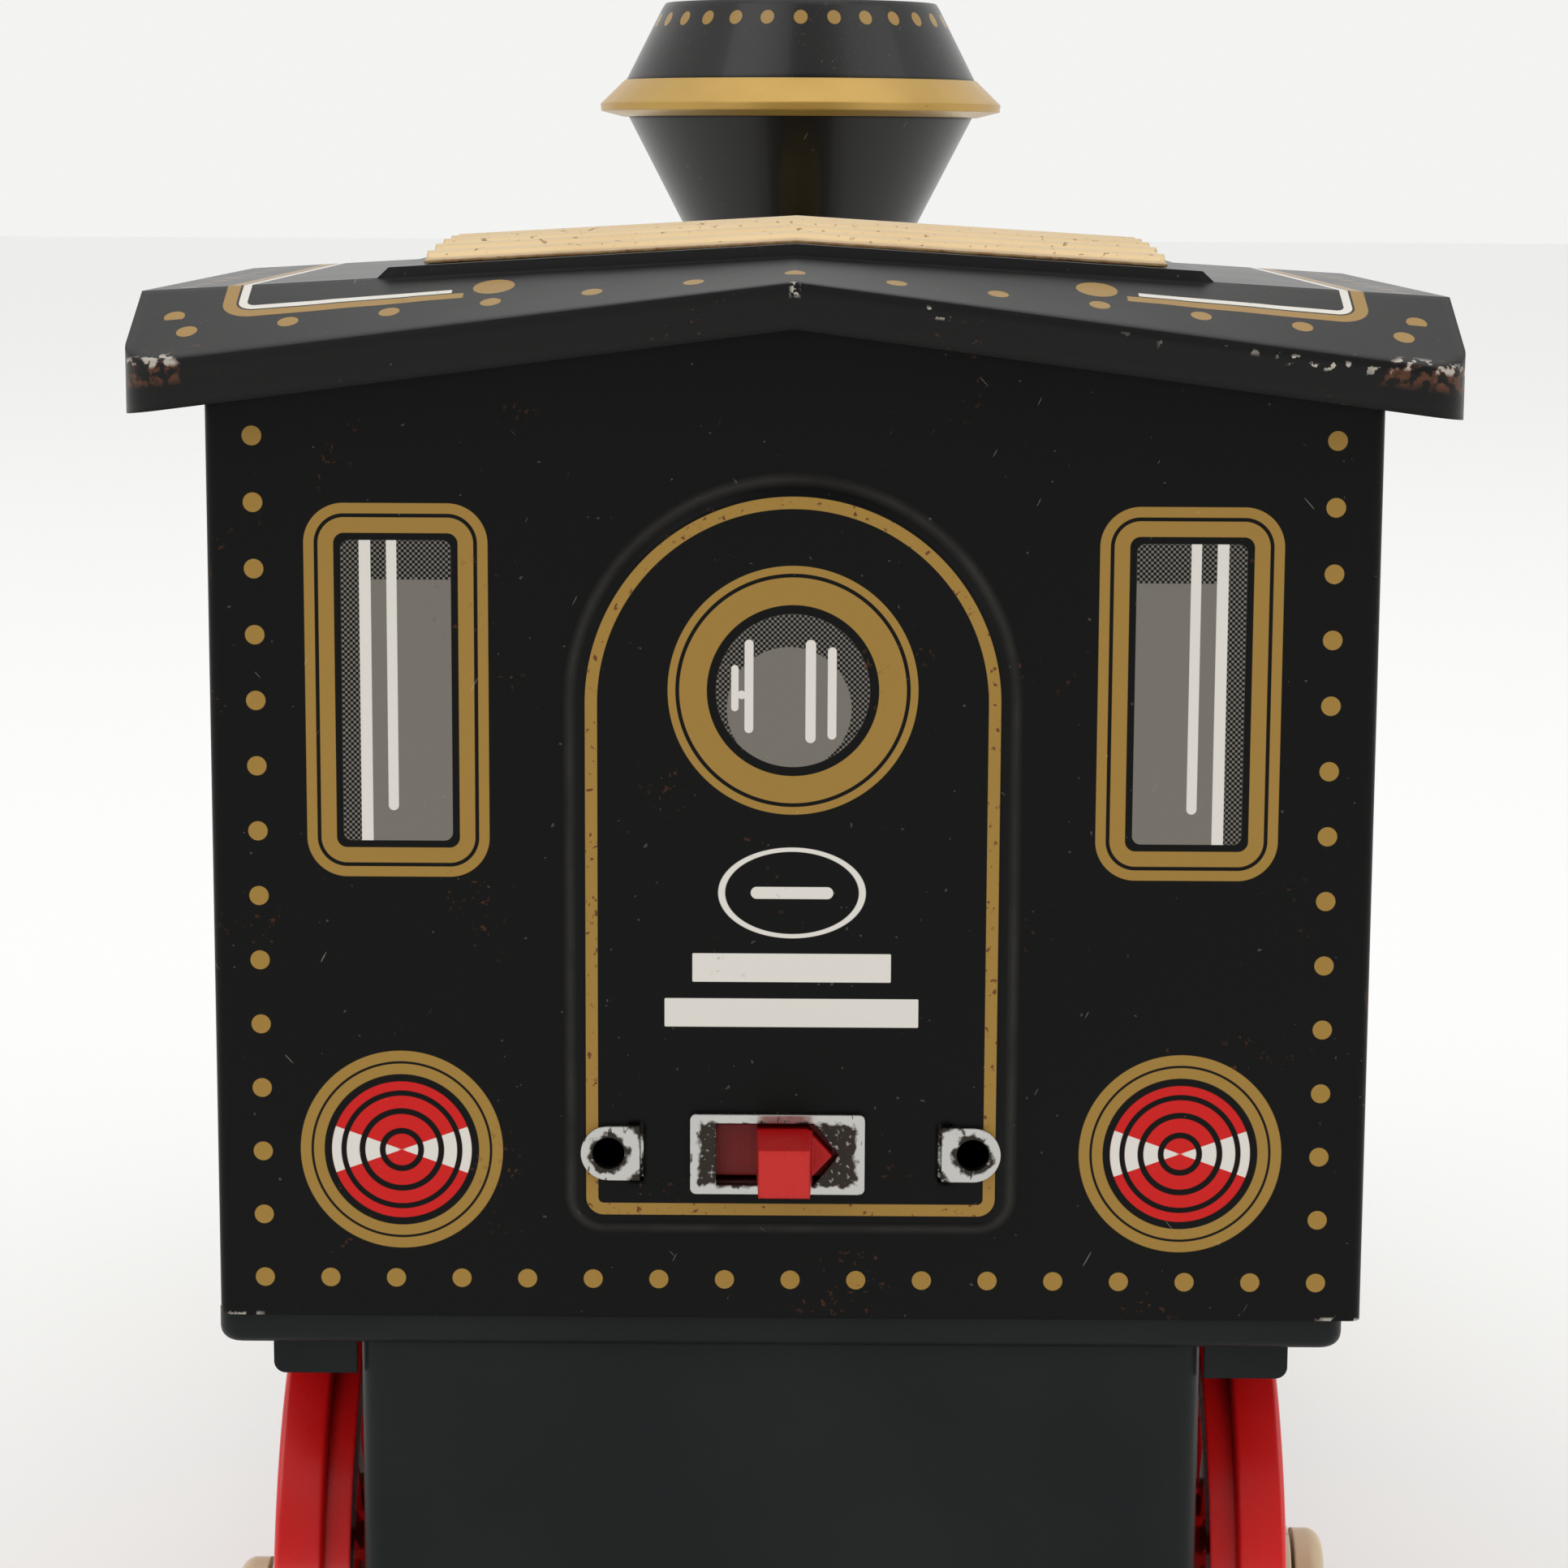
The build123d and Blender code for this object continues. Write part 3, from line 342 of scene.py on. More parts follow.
    def span(self, value: Operand, low: float, high: float) -> Socket:
        """Map a 0 to 1 value onto another range."""
        node = self._node("ShaderNodeMapRange")
        self._plug(node.inputs["Value"], value)
        node.inputs["To Min"].default_value = low
        node.inputs["To Max"].default_value = high
        return node.outputs[0]

    def colour(self, socket: Socket | Colour) -> Material:
        """Set the base colour and hand over the material."""
        self._plug(self.shader.inputs["Base Color"], socket)
        return self.material

    def rough(self, socket: Socket) -> None:
        """Drive the roughness."""
        self._plug(self.shader.inputs["Roughness"], socket)

    def relief(self, height: Operand, depth: float, soften: float = 0.0) -> None:
        """Add fine bump over softened creases.

        Args:
            height: The pattern.
            depth: Its depth in millimetres.
            soften: Radius that creases are rounded to, in millimetres.
        """
        bump = self._node("ShaderNodeBump")
        if soften:
            bevel = self._node("ShaderNodeBevel", samples=6)
            bevel.inputs["Radius"].default_value = soften * MM
            self.tree.links.new(bevel.outputs[0], bump.inputs["Normal"])
        bump.inputs["Strength"].default_value = 1.0
        bump.inputs["Distance"].default_value = depth * MM
        self._plug(bump.inputs["Height"], height)
        self.tree.links.new(bump.outputs[0], self.shader.inputs["Normal"])


@dataclass(frozen=True)
class TinWear:
    """How worn the black printed tin is."""

    scratch_share: float = 0.80
    orange_peel: float = 0.012
    crease: float = 0.7

    def age(self, finish: Finish, colour: Socket) -> Socket:
        """Add faint scratches and handling marks, and a slightly uneven varnish.

        Args:
            finish: The material.
            colour: Its printed colour.

        Returns:
            The worn colour.
        """
        gate = finish.noise(0.06, 2.0)
        for angle, limit in ((62.0, 0.56), (-48.0, 0.60)):
            hair = finish.noise(0.8, 1.0, (0.35, 0.35, 5.0), (0, angle, 0))
            thin = finish.above(hair, self.scratch_share, 0.012)
            scratch = finish.both(thin, finish.above(gate, limit, 0.04))
            colour = finish.over(colour, finish.times(scratch, 0.30), Ink.BARE_TIN)
        rusting = finish.patchy((1.9, 3.0, 0.66, 0.03), (0.09, 0.64, 0.05))
        colour = finish.over(colour, finish.times(rusting, 0.30), Ink.RUST)
        cloud = finish.noise(0.03, 4.0)
        dusty = finish.times(finish.above(finish.noise(1.6, 1.0), 0.785, 0.02), 0.07)
        colour = finish.over(colour, dusty, Ink.WHITE)
        finish.rough(finish.span(cloud, 0.24, 0.40))
        finish.relief(finish.noise(0.5, 2.0), self.orange_peel, self.crease)
        return colour


@dataclass(frozen=True)
class BackWallPrint:
    """The printing on the cab's back wall and on its sides."""

    window_x: float = 32.5
    window_z: float = DECK + 53.45
    window_half: Pair = (7.52, 15.45)
    window_corner: float = 3.3
    window_lines: tuple[Pair, ...] = ((-0.85, 0.0), (-2.44, -1.17))
    side_window: Pair = (17.0, 13.2)
    door_half: float = 17.05
    door_low: float = DECK + 9.6
    door_spring: float = DECK + 52.65
    porthole_z: float = DECK + 53.8
    lamp: Pair = (32.5, DECK + 14.8)
    lamp_radius: float = 8.45
    lamp_rings: tuple[Pair, ...] = ((0.22, 0.36), (0.42, 0.545), (0.60, 0.69))
    glints: tuple[tuple[float, float, float, float], ...] = (
        (3.6, -3.5, 4.2, 0.36), (4.75, -1.7, 2.1, 0.30), (4.2, -0.7, 0.0, 0.36), (-1.45, -4.3, 4.2, 0.42),
        (-3.2, -4.0, 3.6, 0.36))
    rivet_x: float = 44.1
    rivet_low: float = 3.35
    rivet_radius: float = 0.80

    def rivets(self, f: Finish, across: Operand) -> Socket:
        """Gold dots up both edges and along the foot."""
        height = f.minus(f.z, DECK)
        level = f.every(height, 5.43, self.rivet_low + 0.4)
        column = f.length(f.away(f.size(across), self.rivet_x), level)
        column = f.both(f.below(column, self.rivet_radius), f.band(height, 1.0, 76.5))
        row = f.length(f.every(across, self.rivet_x / 8), f.away(height, self.rivet_low + 0.4))
        row = f.both(f.below(row, self.rivet_radius), f.below(f.size(across), 45.2))
        return f.either(column, row)

    def pane(self, f: Finish, colour: Socket, glass: Operand, u: Operand,
             v: Operand) -> Socket:
        """The grey glass of a window with halftone shade and white glints."""
        colour = f.over(colour, f.below(glass, 0.0), Ink.GLASS_GREY)
        screen = f.halftone(u, v)
        shade = f.either(f.above(v, 9.2), f.above(u, 2.9))
        colour = f.over(colour, f.both(f.below(glass, 0.0), shade, screen), Ink.BLACK)
        glint = f.band(u, 2.05, 3.0)
        short = f.below(f.plate(u, v, (0.35, 1.7), (0.42, 11.6), 0.42), 0.0)
        return f.over(colour, f.both(f.below(glass, 0.0), f.either(glint, short)), Ink.WHITE)

    def windows(self, f: Finish, colour: Socket, across: Operand) -> Socket:
        """Both tall windows with their double gold frames."""
        side = f.size(across)
        edge = f.plate(side, f.z, (self.window_x, self.window_z), self.window_half, self.window_corner)
        colour = f.over(colour, f.either(*(f.band(edge, *line) for line in self.window_lines)), Ink.GOLD)
        glass = f.plate(side, f.z, (self.window_x, self.window_z), (4.5, 12.42), 0.7)
        u = f.minus(side, self.window_x)
        v = f.minus(f.z, self.window_z)
        return self.pane(f, colour, glass, u, v)

    def door(self, f: Finish, colour: Socket) -> Socket:
        """The gold line of the arched panel."""
        low = f.plate(f.x, f.z, (0.0, self.door_low + 30.0), (self.door_half, 30.0), 1.5)
        high = f.minus(f.circle(f.x, f.z, (0.0, self.door_spring)), self.door_half)
        lower_half = f.below(f.z, self.door_spring, 0.001)
        edge = f.calc("ADD", f.times(lower_half, low),
                      f.times(f.minus(1.0, lower_half), high))
        # A faint pale band just outside the gold line, in bare-tin colour broken by noise: a painted
        # highlight for the rim's sheen, laid in like rubbed edges.
        rub_and_sheen = f.times(f.band(edge, 1.0, 1.6, 0.6), f.span(f.noise(0.25, 3.0), 0.01, 0.09))
        colour = f.over(colour, rub_and_sheen, Ink.BARE_TIN)
        line = f.band(edge, -1.02, -0.02)
        colour = f.over(colour, line, Ink.GOLD)
        return f.over(colour, f.both(line, f.above(f.noise(1.7, 3.0), 0.655, 0.05)), Ink.RUST)

    def porthole(self, f: Finish, colour: Socket) -> Socket:
        """The round window with its two gold rings."""
        distance = f.circle(f.x, f.z, (0.0, self.porthole_z))
        rings = f.either(f.band(distance, 9.62, 10.25), f.band(distance, 7.05, 9.3))
        colour = f.over(colour, rings, Ink.GOLD)
        glass = f.below(distance, 6.3)
        colour = f.over(colour, glass, Ink.GLASS_GREY)
        low = f.circle(f.x, f.z, (0.3, self.porthole_z - 1.5))
        shade = f.both(glass, f.above(low, 5.1), f.halftone(f.x, f.z))
        colour = f.over(colour, shade, Ink.BLACK)
        strokes = []
        for x, low_z, high_z, half in self.glints:
            centre = (x, self.porthole_z + (low_z + high_z) / 2)
            strokes.append(f.below(f.plate(f.x, f.z, centre, (half, (high_z - low_z) / 2), half), 0.0))
        return f.over(colour, f.both(glass, f.either(*strokes)), Ink.WHITE)

    def lamps(self, f: Finish, colour: Socket, across: Operand) -> Socket:
        """The printed red lamps: gold rings, red rings and white side sectors."""
        u = f.minus(f.size(across), self.lamp[0])
        v = f.minus(f.z, self.lamp[1])
        share = f.calc("DIVIDE", f.length(u, v), self.lamp_radius)
        rings = f.either(f.band(share, 0.895, 1.0, 0.008), f.band(share, 0.765, 0.87, 0.008))
        colour = f.over(colour, rings, Ink.GOLD)
        bands = [f.below(share, 0.16, 0.008)]
        bands += [f.band(share, *ring, 0.008) for ring in self.lamp_rings]
        lens = f.either(*bands)
        colour = f.over(colour, lens, Ink.RED)
        slope = f.minus(f.size(v), f.times(f.size(u), 0.36))
        sector = f.both(lens, f.below(slope, 0.0), f.above(share, 0.02))
        return f.over(colour, sector, Ink.WHITE)

    def badge(self, f: Finish, colour: Socket) -> Socket:
        """A plain oval ring with a bar, and two blank plates under it."""
        u = f.calc("DIVIDE", f.x, 1.6)
        oval = f.circle(u, f.z, (0.0, DECK + 37.0))
        bar = f.plate(f.x, f.z, (0.0, DECK + 37.0), (3.4, 0.5), 0.5)
        mark = f.either(f.band(oval, 3.45, 3.8), f.below(bar, 0.0))
        upper = f.below(f.plate(f.x, f.z, (0.0, DECK + 30.7), (8.2, 1.2), 0.1), 0.0)
        lower = f.below(f.plate(f.x, f.z, (0.0, DECK + 26.9), (10.5, 1.2), 0.1), 0.0)
        return f.over(colour, f.either(mark, upper, lower), Ink.WHITE)

    def sides(self, f: Finish, colour: Socket) -> Socket:
        """The side walls: rivets, two windows and a lined panel."""
        along = f.minus(f.y, REAR - 40.0)
        height = f.minus(f.z, DECK)
        column = f.length(f.away(f.size(along), 36.4), f.every(height, 5.4, 3.8))
        column = f.both(f.below(column, self.rivet_radius), f.band(height, 1.0, 76.0))
        row = f.length(f.every(along, 5.2), f.away(height, 3.8))
        row = f.both(f.below(row, self.rivet_radius), f.below(f.size(along), 36.8))
        colour = f.over(colour, f.either(column, row), Ink.GOLD)
        across = f.size(along)
        middle, reach = self.side_window
        edge = f.plate(across, f.z, (middle, self.window_z), (reach, self.window_half[1]), self.window_corner)
        colour = f.over(colour, f.either(*(f.band(edge, *line) for line in self.window_lines)), Ink.GOLD)
        glass = f.plate(across, f.z, (middle, self.window_z), (reach - 3.0, 12.42), 0.7)
        u = f.minus(across, 23.0)
        colour = self.pane(f, colour, glass, u, f.minus(f.z, self.window_z))
        panel = f.plate(along, f.z, (0.0, DECK + 20.5), (31.5, 11.5), 3.0)
        return f.over(colour, f.either(f.band(panel, -0.9, 0.0), f.band(panel, -1.7, -1.3)), Ink.GOLD)

    def build(self) -> Material:
        """Print the cab walls.

        Returns:
            The material for the cab shell.
        """
        f = Finish("printed_cab_tin", gloss=0.10)
        back = f.over(Ink.BLACK.value, self.rivets(f, f.x), Ink.GOLD)
        back = self.windows(f, back, f.x)
        back = self.door(f, back)
        back = self.porthole(f, back)
        back = self.lamps(f, back, f.x)
        back = self.badge(f, back)
        on_back = f.both(f.above(f.facing(1), 0.3, 0.02), f.above(f.y, REAR - 0.3, 0.01))
        colour = f.over(Ink.BLACK.value, on_back, back)
        flank = self.sides(f, Ink.BLACK.value)
        wall = CAB_HIGH.x
        outward = f.above(f.size(f.facing(0)), 0.7, 0.02)
        on_side = f.both(outward, f.above(f.size(f.x), wall - 0.2, 0.02))
        colour = f.over(colour, on_side, flank)
        edge = f.size(f.x)
        streaks = f.above(f.noise(0.8, 3.0, (1, 1, 0.35)), 0.64, 0.05)
        corner = f.both(f.above(edge, wall - 0.35, 0.3), f.above(f.y, REAR - 0.35, 0.3), streaks)
        colour = f.over(colour, f.times(corner, 0.6), Ink.RUST)
        chipped = f.above(f.noise(0.9, 3.0), 0.56, 0.05)
        foot = f.both(f.below(f.z, DECK + 0.7, 0.2), f.above(edge, 44.5, 1.0), chipped)
        colour = f.over(colour, foot, Ink.BARE_TIN)
        return f.colour(TinWear().age(f, colour))


@dataclass(frozen=True)
class RoofPrint:
    """The black roof with its lining, rivets and chipped edges."""

    rear: float = ROOF_HIGH.y
    front: float = ROOF_LOW.y
    ridge: float = ROOF_LOW.z + 10.8
    eave: float = ROOF_LOW.z + 3.95
    half: float = ROOF_HIGH.x
    line: float = ROOF_HIGH.y - 6.7
    dot: float = 0.85

    def build(self) -> Material:
        """Print and wear the roof.

        Returns:
            The material for the roof.
        """
        f = Finish("printed_roof_tin", gloss=0.22)
        side = f.size(f.x)
        middle = (self.rear + self.front) / 2
        along = f.away(f.y, middle)
        reach = self.line - middle
        frame_line = f.plate(side, along, (0.0, 0.0), (46.3, reach), 2.2)
        open_end = f.above(side, 27.0, 0.1)
        gold = f.both(f.band(frame_line, -0.55, 0.55), open_end)
        white = f.both(f.band(frame_line, -1.45, -0.75), f.above(side, 28.0, 0.1))
        knot = f.below(f.circle(side, along, (24.6, reach - 1.5)), 1.7)
        row = f.length(f.every(side, 8.2), f.away(along, self.rear - middle - 4.5))
        dots = f.both(f.below(row, self.dot), f.below(side, 50.4))
        column = f.length(f.away(side, 50.6), f.every(along, 8.4, 38.0))
        edge_dots = f.both(f.below(column, self.dot), f.below(along, 38.5))
        up = f.above(f.facing(2), 0.25, 0.05)
        colour = f.over(Ink.BLACK.value, f.both(up, f.either(gold, dots, edge_dots, knot)), Ink.GOLD)
        colour = f.over(colour, f.both(up, white), Ink.WHITE)
        fold = f.calc("MULTIPLY_ADD", side, -(self.ridge - self.eave) / self.half, self.ridge)
        under_fold = f.away(f.minus(f.z, fold), 0.0)
        at_end = f.above(along, self.rear - middle - 0.5, 0.3)
        grain = f.noise(1.1, 4.0)
        patch = f.noise(0.11, 2.0)
        below_fold = f.away(f.minus(f.z, fold), -0.9)
        specks = f.both(f.above(grain, 0.60, 0.03), f.above(patch, 0.50, 0.06))
        chips = f.both(at_end, f.below(below_fold, 0.40, 0.3), specks, f.below(f.x, -4.0, 2.0))
        colour = f.over(colour, chips, Ink.BARE_TIN)
        reach_in = f.calc("MULTIPLY_ADD", f.noise(0.3, 2.0), 14.0, f.minus(side, self.half + 3.0))
        at_corner = f.both(f.above(reach_in, -1.5, 2.0), f.above(along, self.rear - middle - 4.0, 1.0))
        rusty = f.both(at_corner, f.below(below_fold, 0.9, 0.6), f.above(grain, 0.49, 0.08))
        colour = f.over(colour, f.times(rusty, 0.6), Ink.RUST)
        bare = f.both(at_corner, f.below(under_fold, 0.45, 0.3), f.above(grain, 0.55, 0.04))
        colour = f.over(colour, bare, Ink.BARE_TIN)
        crease = f.both(f.below(side, 0.35, 0.3), at_end, f.below(under_fold, 1.0, 0.4),
                        f.above(f.noise(2.0, 3.0), 0.50, 0.05))
        colour = f.over(colour, crease, Ink.BARE_TIN)
        return f.colour(TinWear(crease=1.5).age(f, colour))


@dataclass(frozen=True)
class VentPrint:
    """Gilded ribs, darker brown between them and along the foot, with rusty specks."""

    name: str = "gilt_vent"
    ribs: int = 8
    gilt: Colour = (0.70, 0.53, 0.30)
    shade: Colour = (0.58, 0.41, 0.20)
    groove: Colour = (0.26, 0.12, 0.035)

    def build(self) -> Material:
        """Make the material."""
        f = Finish(self.name, metallic=0.35, gloss=0.35)
        low, high = span_of("roof_vent")
        pitch = (high.y - low.y) / self.ribs
        from_rib = f.every(f.y, pitch, low.y + pitch / 2)
        # Darker brown in the grooves between the ribs, and below along the vent's foot.
        darker_between_ribs = f.both(f.above(from_rib, pitch / 2 - 1.5, 1.2), f.span(f.noise(0.2, 3.0), 0.35, 1.0))
        colour = f.over(self.gilt, f.noise(0.08, 3.0), self.shade)
        colour = f.over(colour, f.times(darker_between_ribs, 0.75), self.groove)
        colour = f.over(colour, f.times(f.above(f.noise(1.5, 3.0), 0.66, 0.03), 0.7), Ink.RUST)
        foot = f.below(f.calc("MULTIPLY_ADD", f.size(f.x), 0.06, f.z), high.z - 1.6, 0.5)
        colour = f.over(colour, f.both(foot, f.above(f.noise(0.8, 3.0), 0.5, 0.2)), self.groove)
        f.rough(f.span(f.noise(0.15, 3.0), 0.24, 0.44))
        f.relief(f.noise(0.8, 3.0), 0.02, 0.3)
        return f.colour(colour)


@dataclass(frozen=True)
class PlainInk:
    """A tin or plastic surface in one ink, with clouding, specks and fine relief."""

    name: str
    ink: Colour
    second: Colour
    roughness: Pair = (0.25, 0.4)
    metallic: float = 0.0
    grain: float = 0.5
    relief: float = 0.01
    specks: float = 0.0
    coat: float = 0.0
    gloss: float = 0.4

    def build(self) -> Material:
        """Make the material."""
        f = Finish(self.name, metallic=self.metallic, coat=self.coat, gloss=self.gloss)
        cloud = f.noise(0.05, 4.0)
        colour = f.over(self.ink, f.above(cloud, 0.55, 0.25), self.second)
        if self.specks:
            speck = f.above(f.noise(1.5, 2.0), 1.0 - self.specks, 0.03)
            colour = f.over(colour, f.times(speck, 0.7), Ink.RUST)
        f.rough(f.span(f.noise(0.15, 3.0), *self.roughness))
        f.relief(f.noise(self.grain, 3.0), self.relief, 0.4)
        return f.colour(colour)


@dataclass(frozen=True)
class BoilerPrint:
    """Black boiler tin with gold bands, thin lining and rows of rivets."""

    name: str
    bands: tuple[float, ...] = ()
    band_half: float = 1.6
    rivet_rows: tuple[float, ...] = ()

    def around(self, f: Finish) -> Socket:
        """Distance round the barrel from its top, in millimetres."""
        angle = f.calc("ARCTAN2", f.x, f.minus(f.z, BOILER_Z))
        return f.times(angle, (BOILER_HIGH.x - BOILER_LOW.x) / 2)

    def build(self) -> Material:
        """Make the material."""
        f = Finish(self.name, roughness=0.28)
        colour = Ink.BLACK.value
        arc = self.around(f)
        for place in self.bands:
            distance = f.away(f.y, place)
            trim = f.either(f.below(distance, self.band_half), f.band(distance, 2.5, 2.95))
            colour = f.over(colour, trim, Ink.GOLD)
        for place in self.rivet_rows:
            dot = f.length(f.every(arc, 4.6), f.away(f.y, place))
            colour = f.over(colour, f.below(dot, 0.8), Ink.GOLD)
        rub_and_sheen = f.patchy((0.7, 4.0, 0.69, 0.04), (0.06, 0.56, 0.05))
        colour = f.over(colour, f.times(rub_and_sheen, 0.6), Ink.BARE_TIN)
        return f.colour(TinWear().age(f, colour))


@dataclass(frozen=True)
class LinedTin:
    """One ink with a gold line set in from the outline of a node, seen along Z, Y or X."""

    name: str
    node: str
    ink: Colour
    axes: tuple[str, str] = ("x", "y")
    inset: float = 1.6
    width: float = 0.7
    corner: float = 2.0
    gloss: float = 0.26

    def build(self) -> Material:
        """Make the material."""
        f = Finish(self.name, gloss=self.gloss)
        low, high = span_of(self.node)
        sockets = {"x": f.x, "y": f.y, "z": f.z}
        index = {"x": 0, "y": 1, "z": 2}
        a, b = (index[name] for name in self.axes)
        centre = ((low[a] + high[a]) / 2, (low[b] + high[b]) / 2)
        half = ((high[a] - low[a]) / 2, (high[b] - low[b]) / 2)
        edge = f.plate(sockets[self.axes[0]], sockets[self.axes[1]], centre, half, self.corner)
        face = f.above(f.size(f.facing(3 - a - b)), 0.8, 0.05)
        line = f.both(face, f.band(edge, -self.inset - self.width, -self.inset))
        colour = f.over(self.ink, line, Ink.GOLD)
        scuff = f.patchy((0.9, 4.0, 0.64, 0.04), (0.1, 0.52, 0.1))
        colour = f.over(colour, f.times(scuff, 0.45), Ink.RUST)
        f.rough(f.span(f.noise(0.05, 4.0), 0.26, 0.42))
        f.relief(f.noise(0.5, 2.0), 0.012, 0.5)
        return f.colour(colour)


@dataclass(frozen=True)
class CylinderPrint:
    """Cream cylinders with brown end bands and gold lines between."""

    name: str = "printed_cylinders"

    def build(self) -> Material:
        """Make the material."""
        f = Finish(self.name, gloss=0.35)
        low, high = span_of("cylinders")
        back, front = high.y - 18.0, low.y
        middle = (back + front) / 2
        reach = (back - front) / 2
        along = f.away(f.y, middle)
        end = f.band(along, reach - 5.2, reach + 0.5)
        colour = f.over(Ink.CREAM.value, end, Ink.BROWN)
        colour = f.over(colour, f.band(along, reach - 6.2, reach - 5.2), Ink.GOLD)
        dots = f.length(f.every(f.z, 4.0), f.away(along, reach - 8.0))
        colour = f.over(colour, f.below(dots, 0.6), Ink.BROWN)
        scuff = f.patchy((0.9, 4.0, 0.63, 0.04), (0.1, 0.52, 0.1))
        f.rough(f.span(f.noise(0.05, 4.0), 0.26, 0.42))
        f.relief(f.noise(0.5, 2.0), 0.012, 0.4)
        return f.colour(f.over(colour, f.times(scuff, 0.5), Ink.RUST))


@dataclass(frozen=True)
class LampPrint:
    """Red lamp body with a gold rim and a gold band."""

    name: str = "headlamp_red"

    def build(self) -> Material:
        """Make the material."""
        f = Finish(self.name, coat=0.4)
        low, high = span_of("headlamp_body")
        trim = f.either(f.below(f.y, low.y + 1.6), f.band(f.y, high.y - 3.4, high.y - 2.2))
        cloud = f.noise(0.2, 3.0)
        colour = f.over((0.46, 0.008, 0.010), cloud, (0.38, 0.006, 0.008))
        f.rough(f.span(cloud, 0.16, 0.30))
        f.relief(f.noise(0.4, 2.0), 0.008, 0.3)
        return f.colour(f.over(colour, trim, Ink.GOLD))


@dataclass(frozen=True)
class DoorPrint:
    """The smokebox front: gold rings, a ring of rivets and two hinge bars."""

    name: str = "printed_smokebox_door"
    centre: Pair = (sum(v.x for v in span_of("smokebox_door")) / 2 - 1.2, BOILER_Z)
    rings: tuple[Pair, ...] = ((20.2, 21.3), (15.0, 15.5), (3.4, 4.4))
    rivet_ring: float = 18.2

    def build(self) -> Material:
        """Make the material."""
        f = Finish(self.name)
        distance = f.circle(f.x, f.z, self.centre)
        angle = f.calc("ARCTAN2", f.minus(f.x, self.centre[0]), f.minus(f.z, self.centre[1]))
        spacing = f.times(f.every(angle, math.pi / 12), self.rivet_ring)
        dots = f.length(spacing, f.away(distance, self.rivet_ring))
        rings = f.either(*(f.band(distance, *ring) for ring in self.rings), f.below(distance, 1.5),
                         f.below(dots, 0.85))
        colour = f.over(Ink.BLACK.value, rings, Ink.GOLD)
        return f.colour(TinWear().age(f, colour))


@dataclass(frozen=True)
class StackPrint:
    """Glossy black chimney tin with a row of gold dots and gold lines."""

    name: str
    dot_height: float
    dot_count: int = 28
    lines: tuple[Pair, ...] = ()

    def build(self) -> Material:
        """Make the material."""
        f = Finish(self.name, coat=0.25, gloss=0.3)
        along = f.minus(f.y, STACK_Y)
        radius = f.length(f.x, along)
        angle = f.calc("ARCTAN2", f.x, along)
        round_stack = f.times(f.every(angle, 2 * math.pi / self.dot_count), radius)
        dots = f.length(round_stack, f.away(f.z, self.dot_height))
        mask = f.below(dots, 0.85)
        for low, high in self.lines:
            mask = f.either(mask, f.band(f.z, low, high))
        return f.colour(TinWear().age(f, f.over(Ink.BLACK.value, mask, Ink.GOLD)))


@dataclass(frozen=True)
class WornMetal:
    """Plated or bare metal with dull patches and fine scratches."""

    name: str
    bright: Colour
    dull: Colour
    roughness: Pair = (0.16, 0.42)
    patch: float = 0.58
    scratches: Triple = (0.2, 3.0, 0.2)

    def build(self) -> Material:
        """Make the material."""
        f = Finish(self.name, metallic=1.0)
        patches = f.above(f.noise(0.55, 4.0), self.patch, 0.12)
        lines = f.above(f.noise(1.4, 2.0, self.scratches), 0.62, 0.10)
        colour = f.over(self.bright, patches, self.dull)
        colour = f.over(colour, f.times(lines, 0.35), self.dull)
        f.rough(f.span(f.either(patches, f.times(lines, 0.6)), *self.roughness))
        f.relief(f.noise(1.2, 3.0, self.scratches), 0.008)
        return f.colour(colour)


@dataclass(frozen=True)
class RubbedPlate:
    """Plating that is bright along its rim and darker further in, where dirty plating and painted shade of
    the recesses are laid together.
    """

    name: str
    centres: tuple[Pair, ...]
    half: Pair
    corner: float
    rim: float
    bright: Colour = (0.52, 0.51, 0.49)
    dirt_and_shade: Colour = (0.045, 0.038, 0.032)

    def build(self) -> Material:
        """Make the material."""
        f = Finish(self.name, metallic=1.0)
        edges = [f.plate(f.x, f.z, centre, self.half, self.corner) for centre in self.centres]
        edge = edges[0]
        for other in edges[1:]:
            edge = f.calc("MINIMUM", edge, other)
        ragged = f.calc("MULTIPLY_ADD", f.noise(1.1, 4.0), 1.6, f.minus(edge, 0.8))
        rim = f.band(ragged, -self.rim, 0.55, 0.25)
        speck = f.above(f.noise(2.2, 3.0), 0.62, 0.05)
        pit = f.above(f.noise(1.5, 4.0, (1, 1, 0.4)), 0.64, 0.04)
        shine = f.minus(f.either(rim, f.times(speck, 0.5)), f.times(pit, 0.8))
        # Dark plating colour away from the rim: painted shade round the slot and holes, together with dirty
        # plating.
        colour = f.over(self.dirt_and_shade, f.calc("MAXIMUM", shine, 0.0), self.bright)
        f.rough(f.span(shine, 0.50, 0.20))
        f.relief(f.noise(1.2, 3.0), 0.02, 0.15)
        return f.colour(colour)


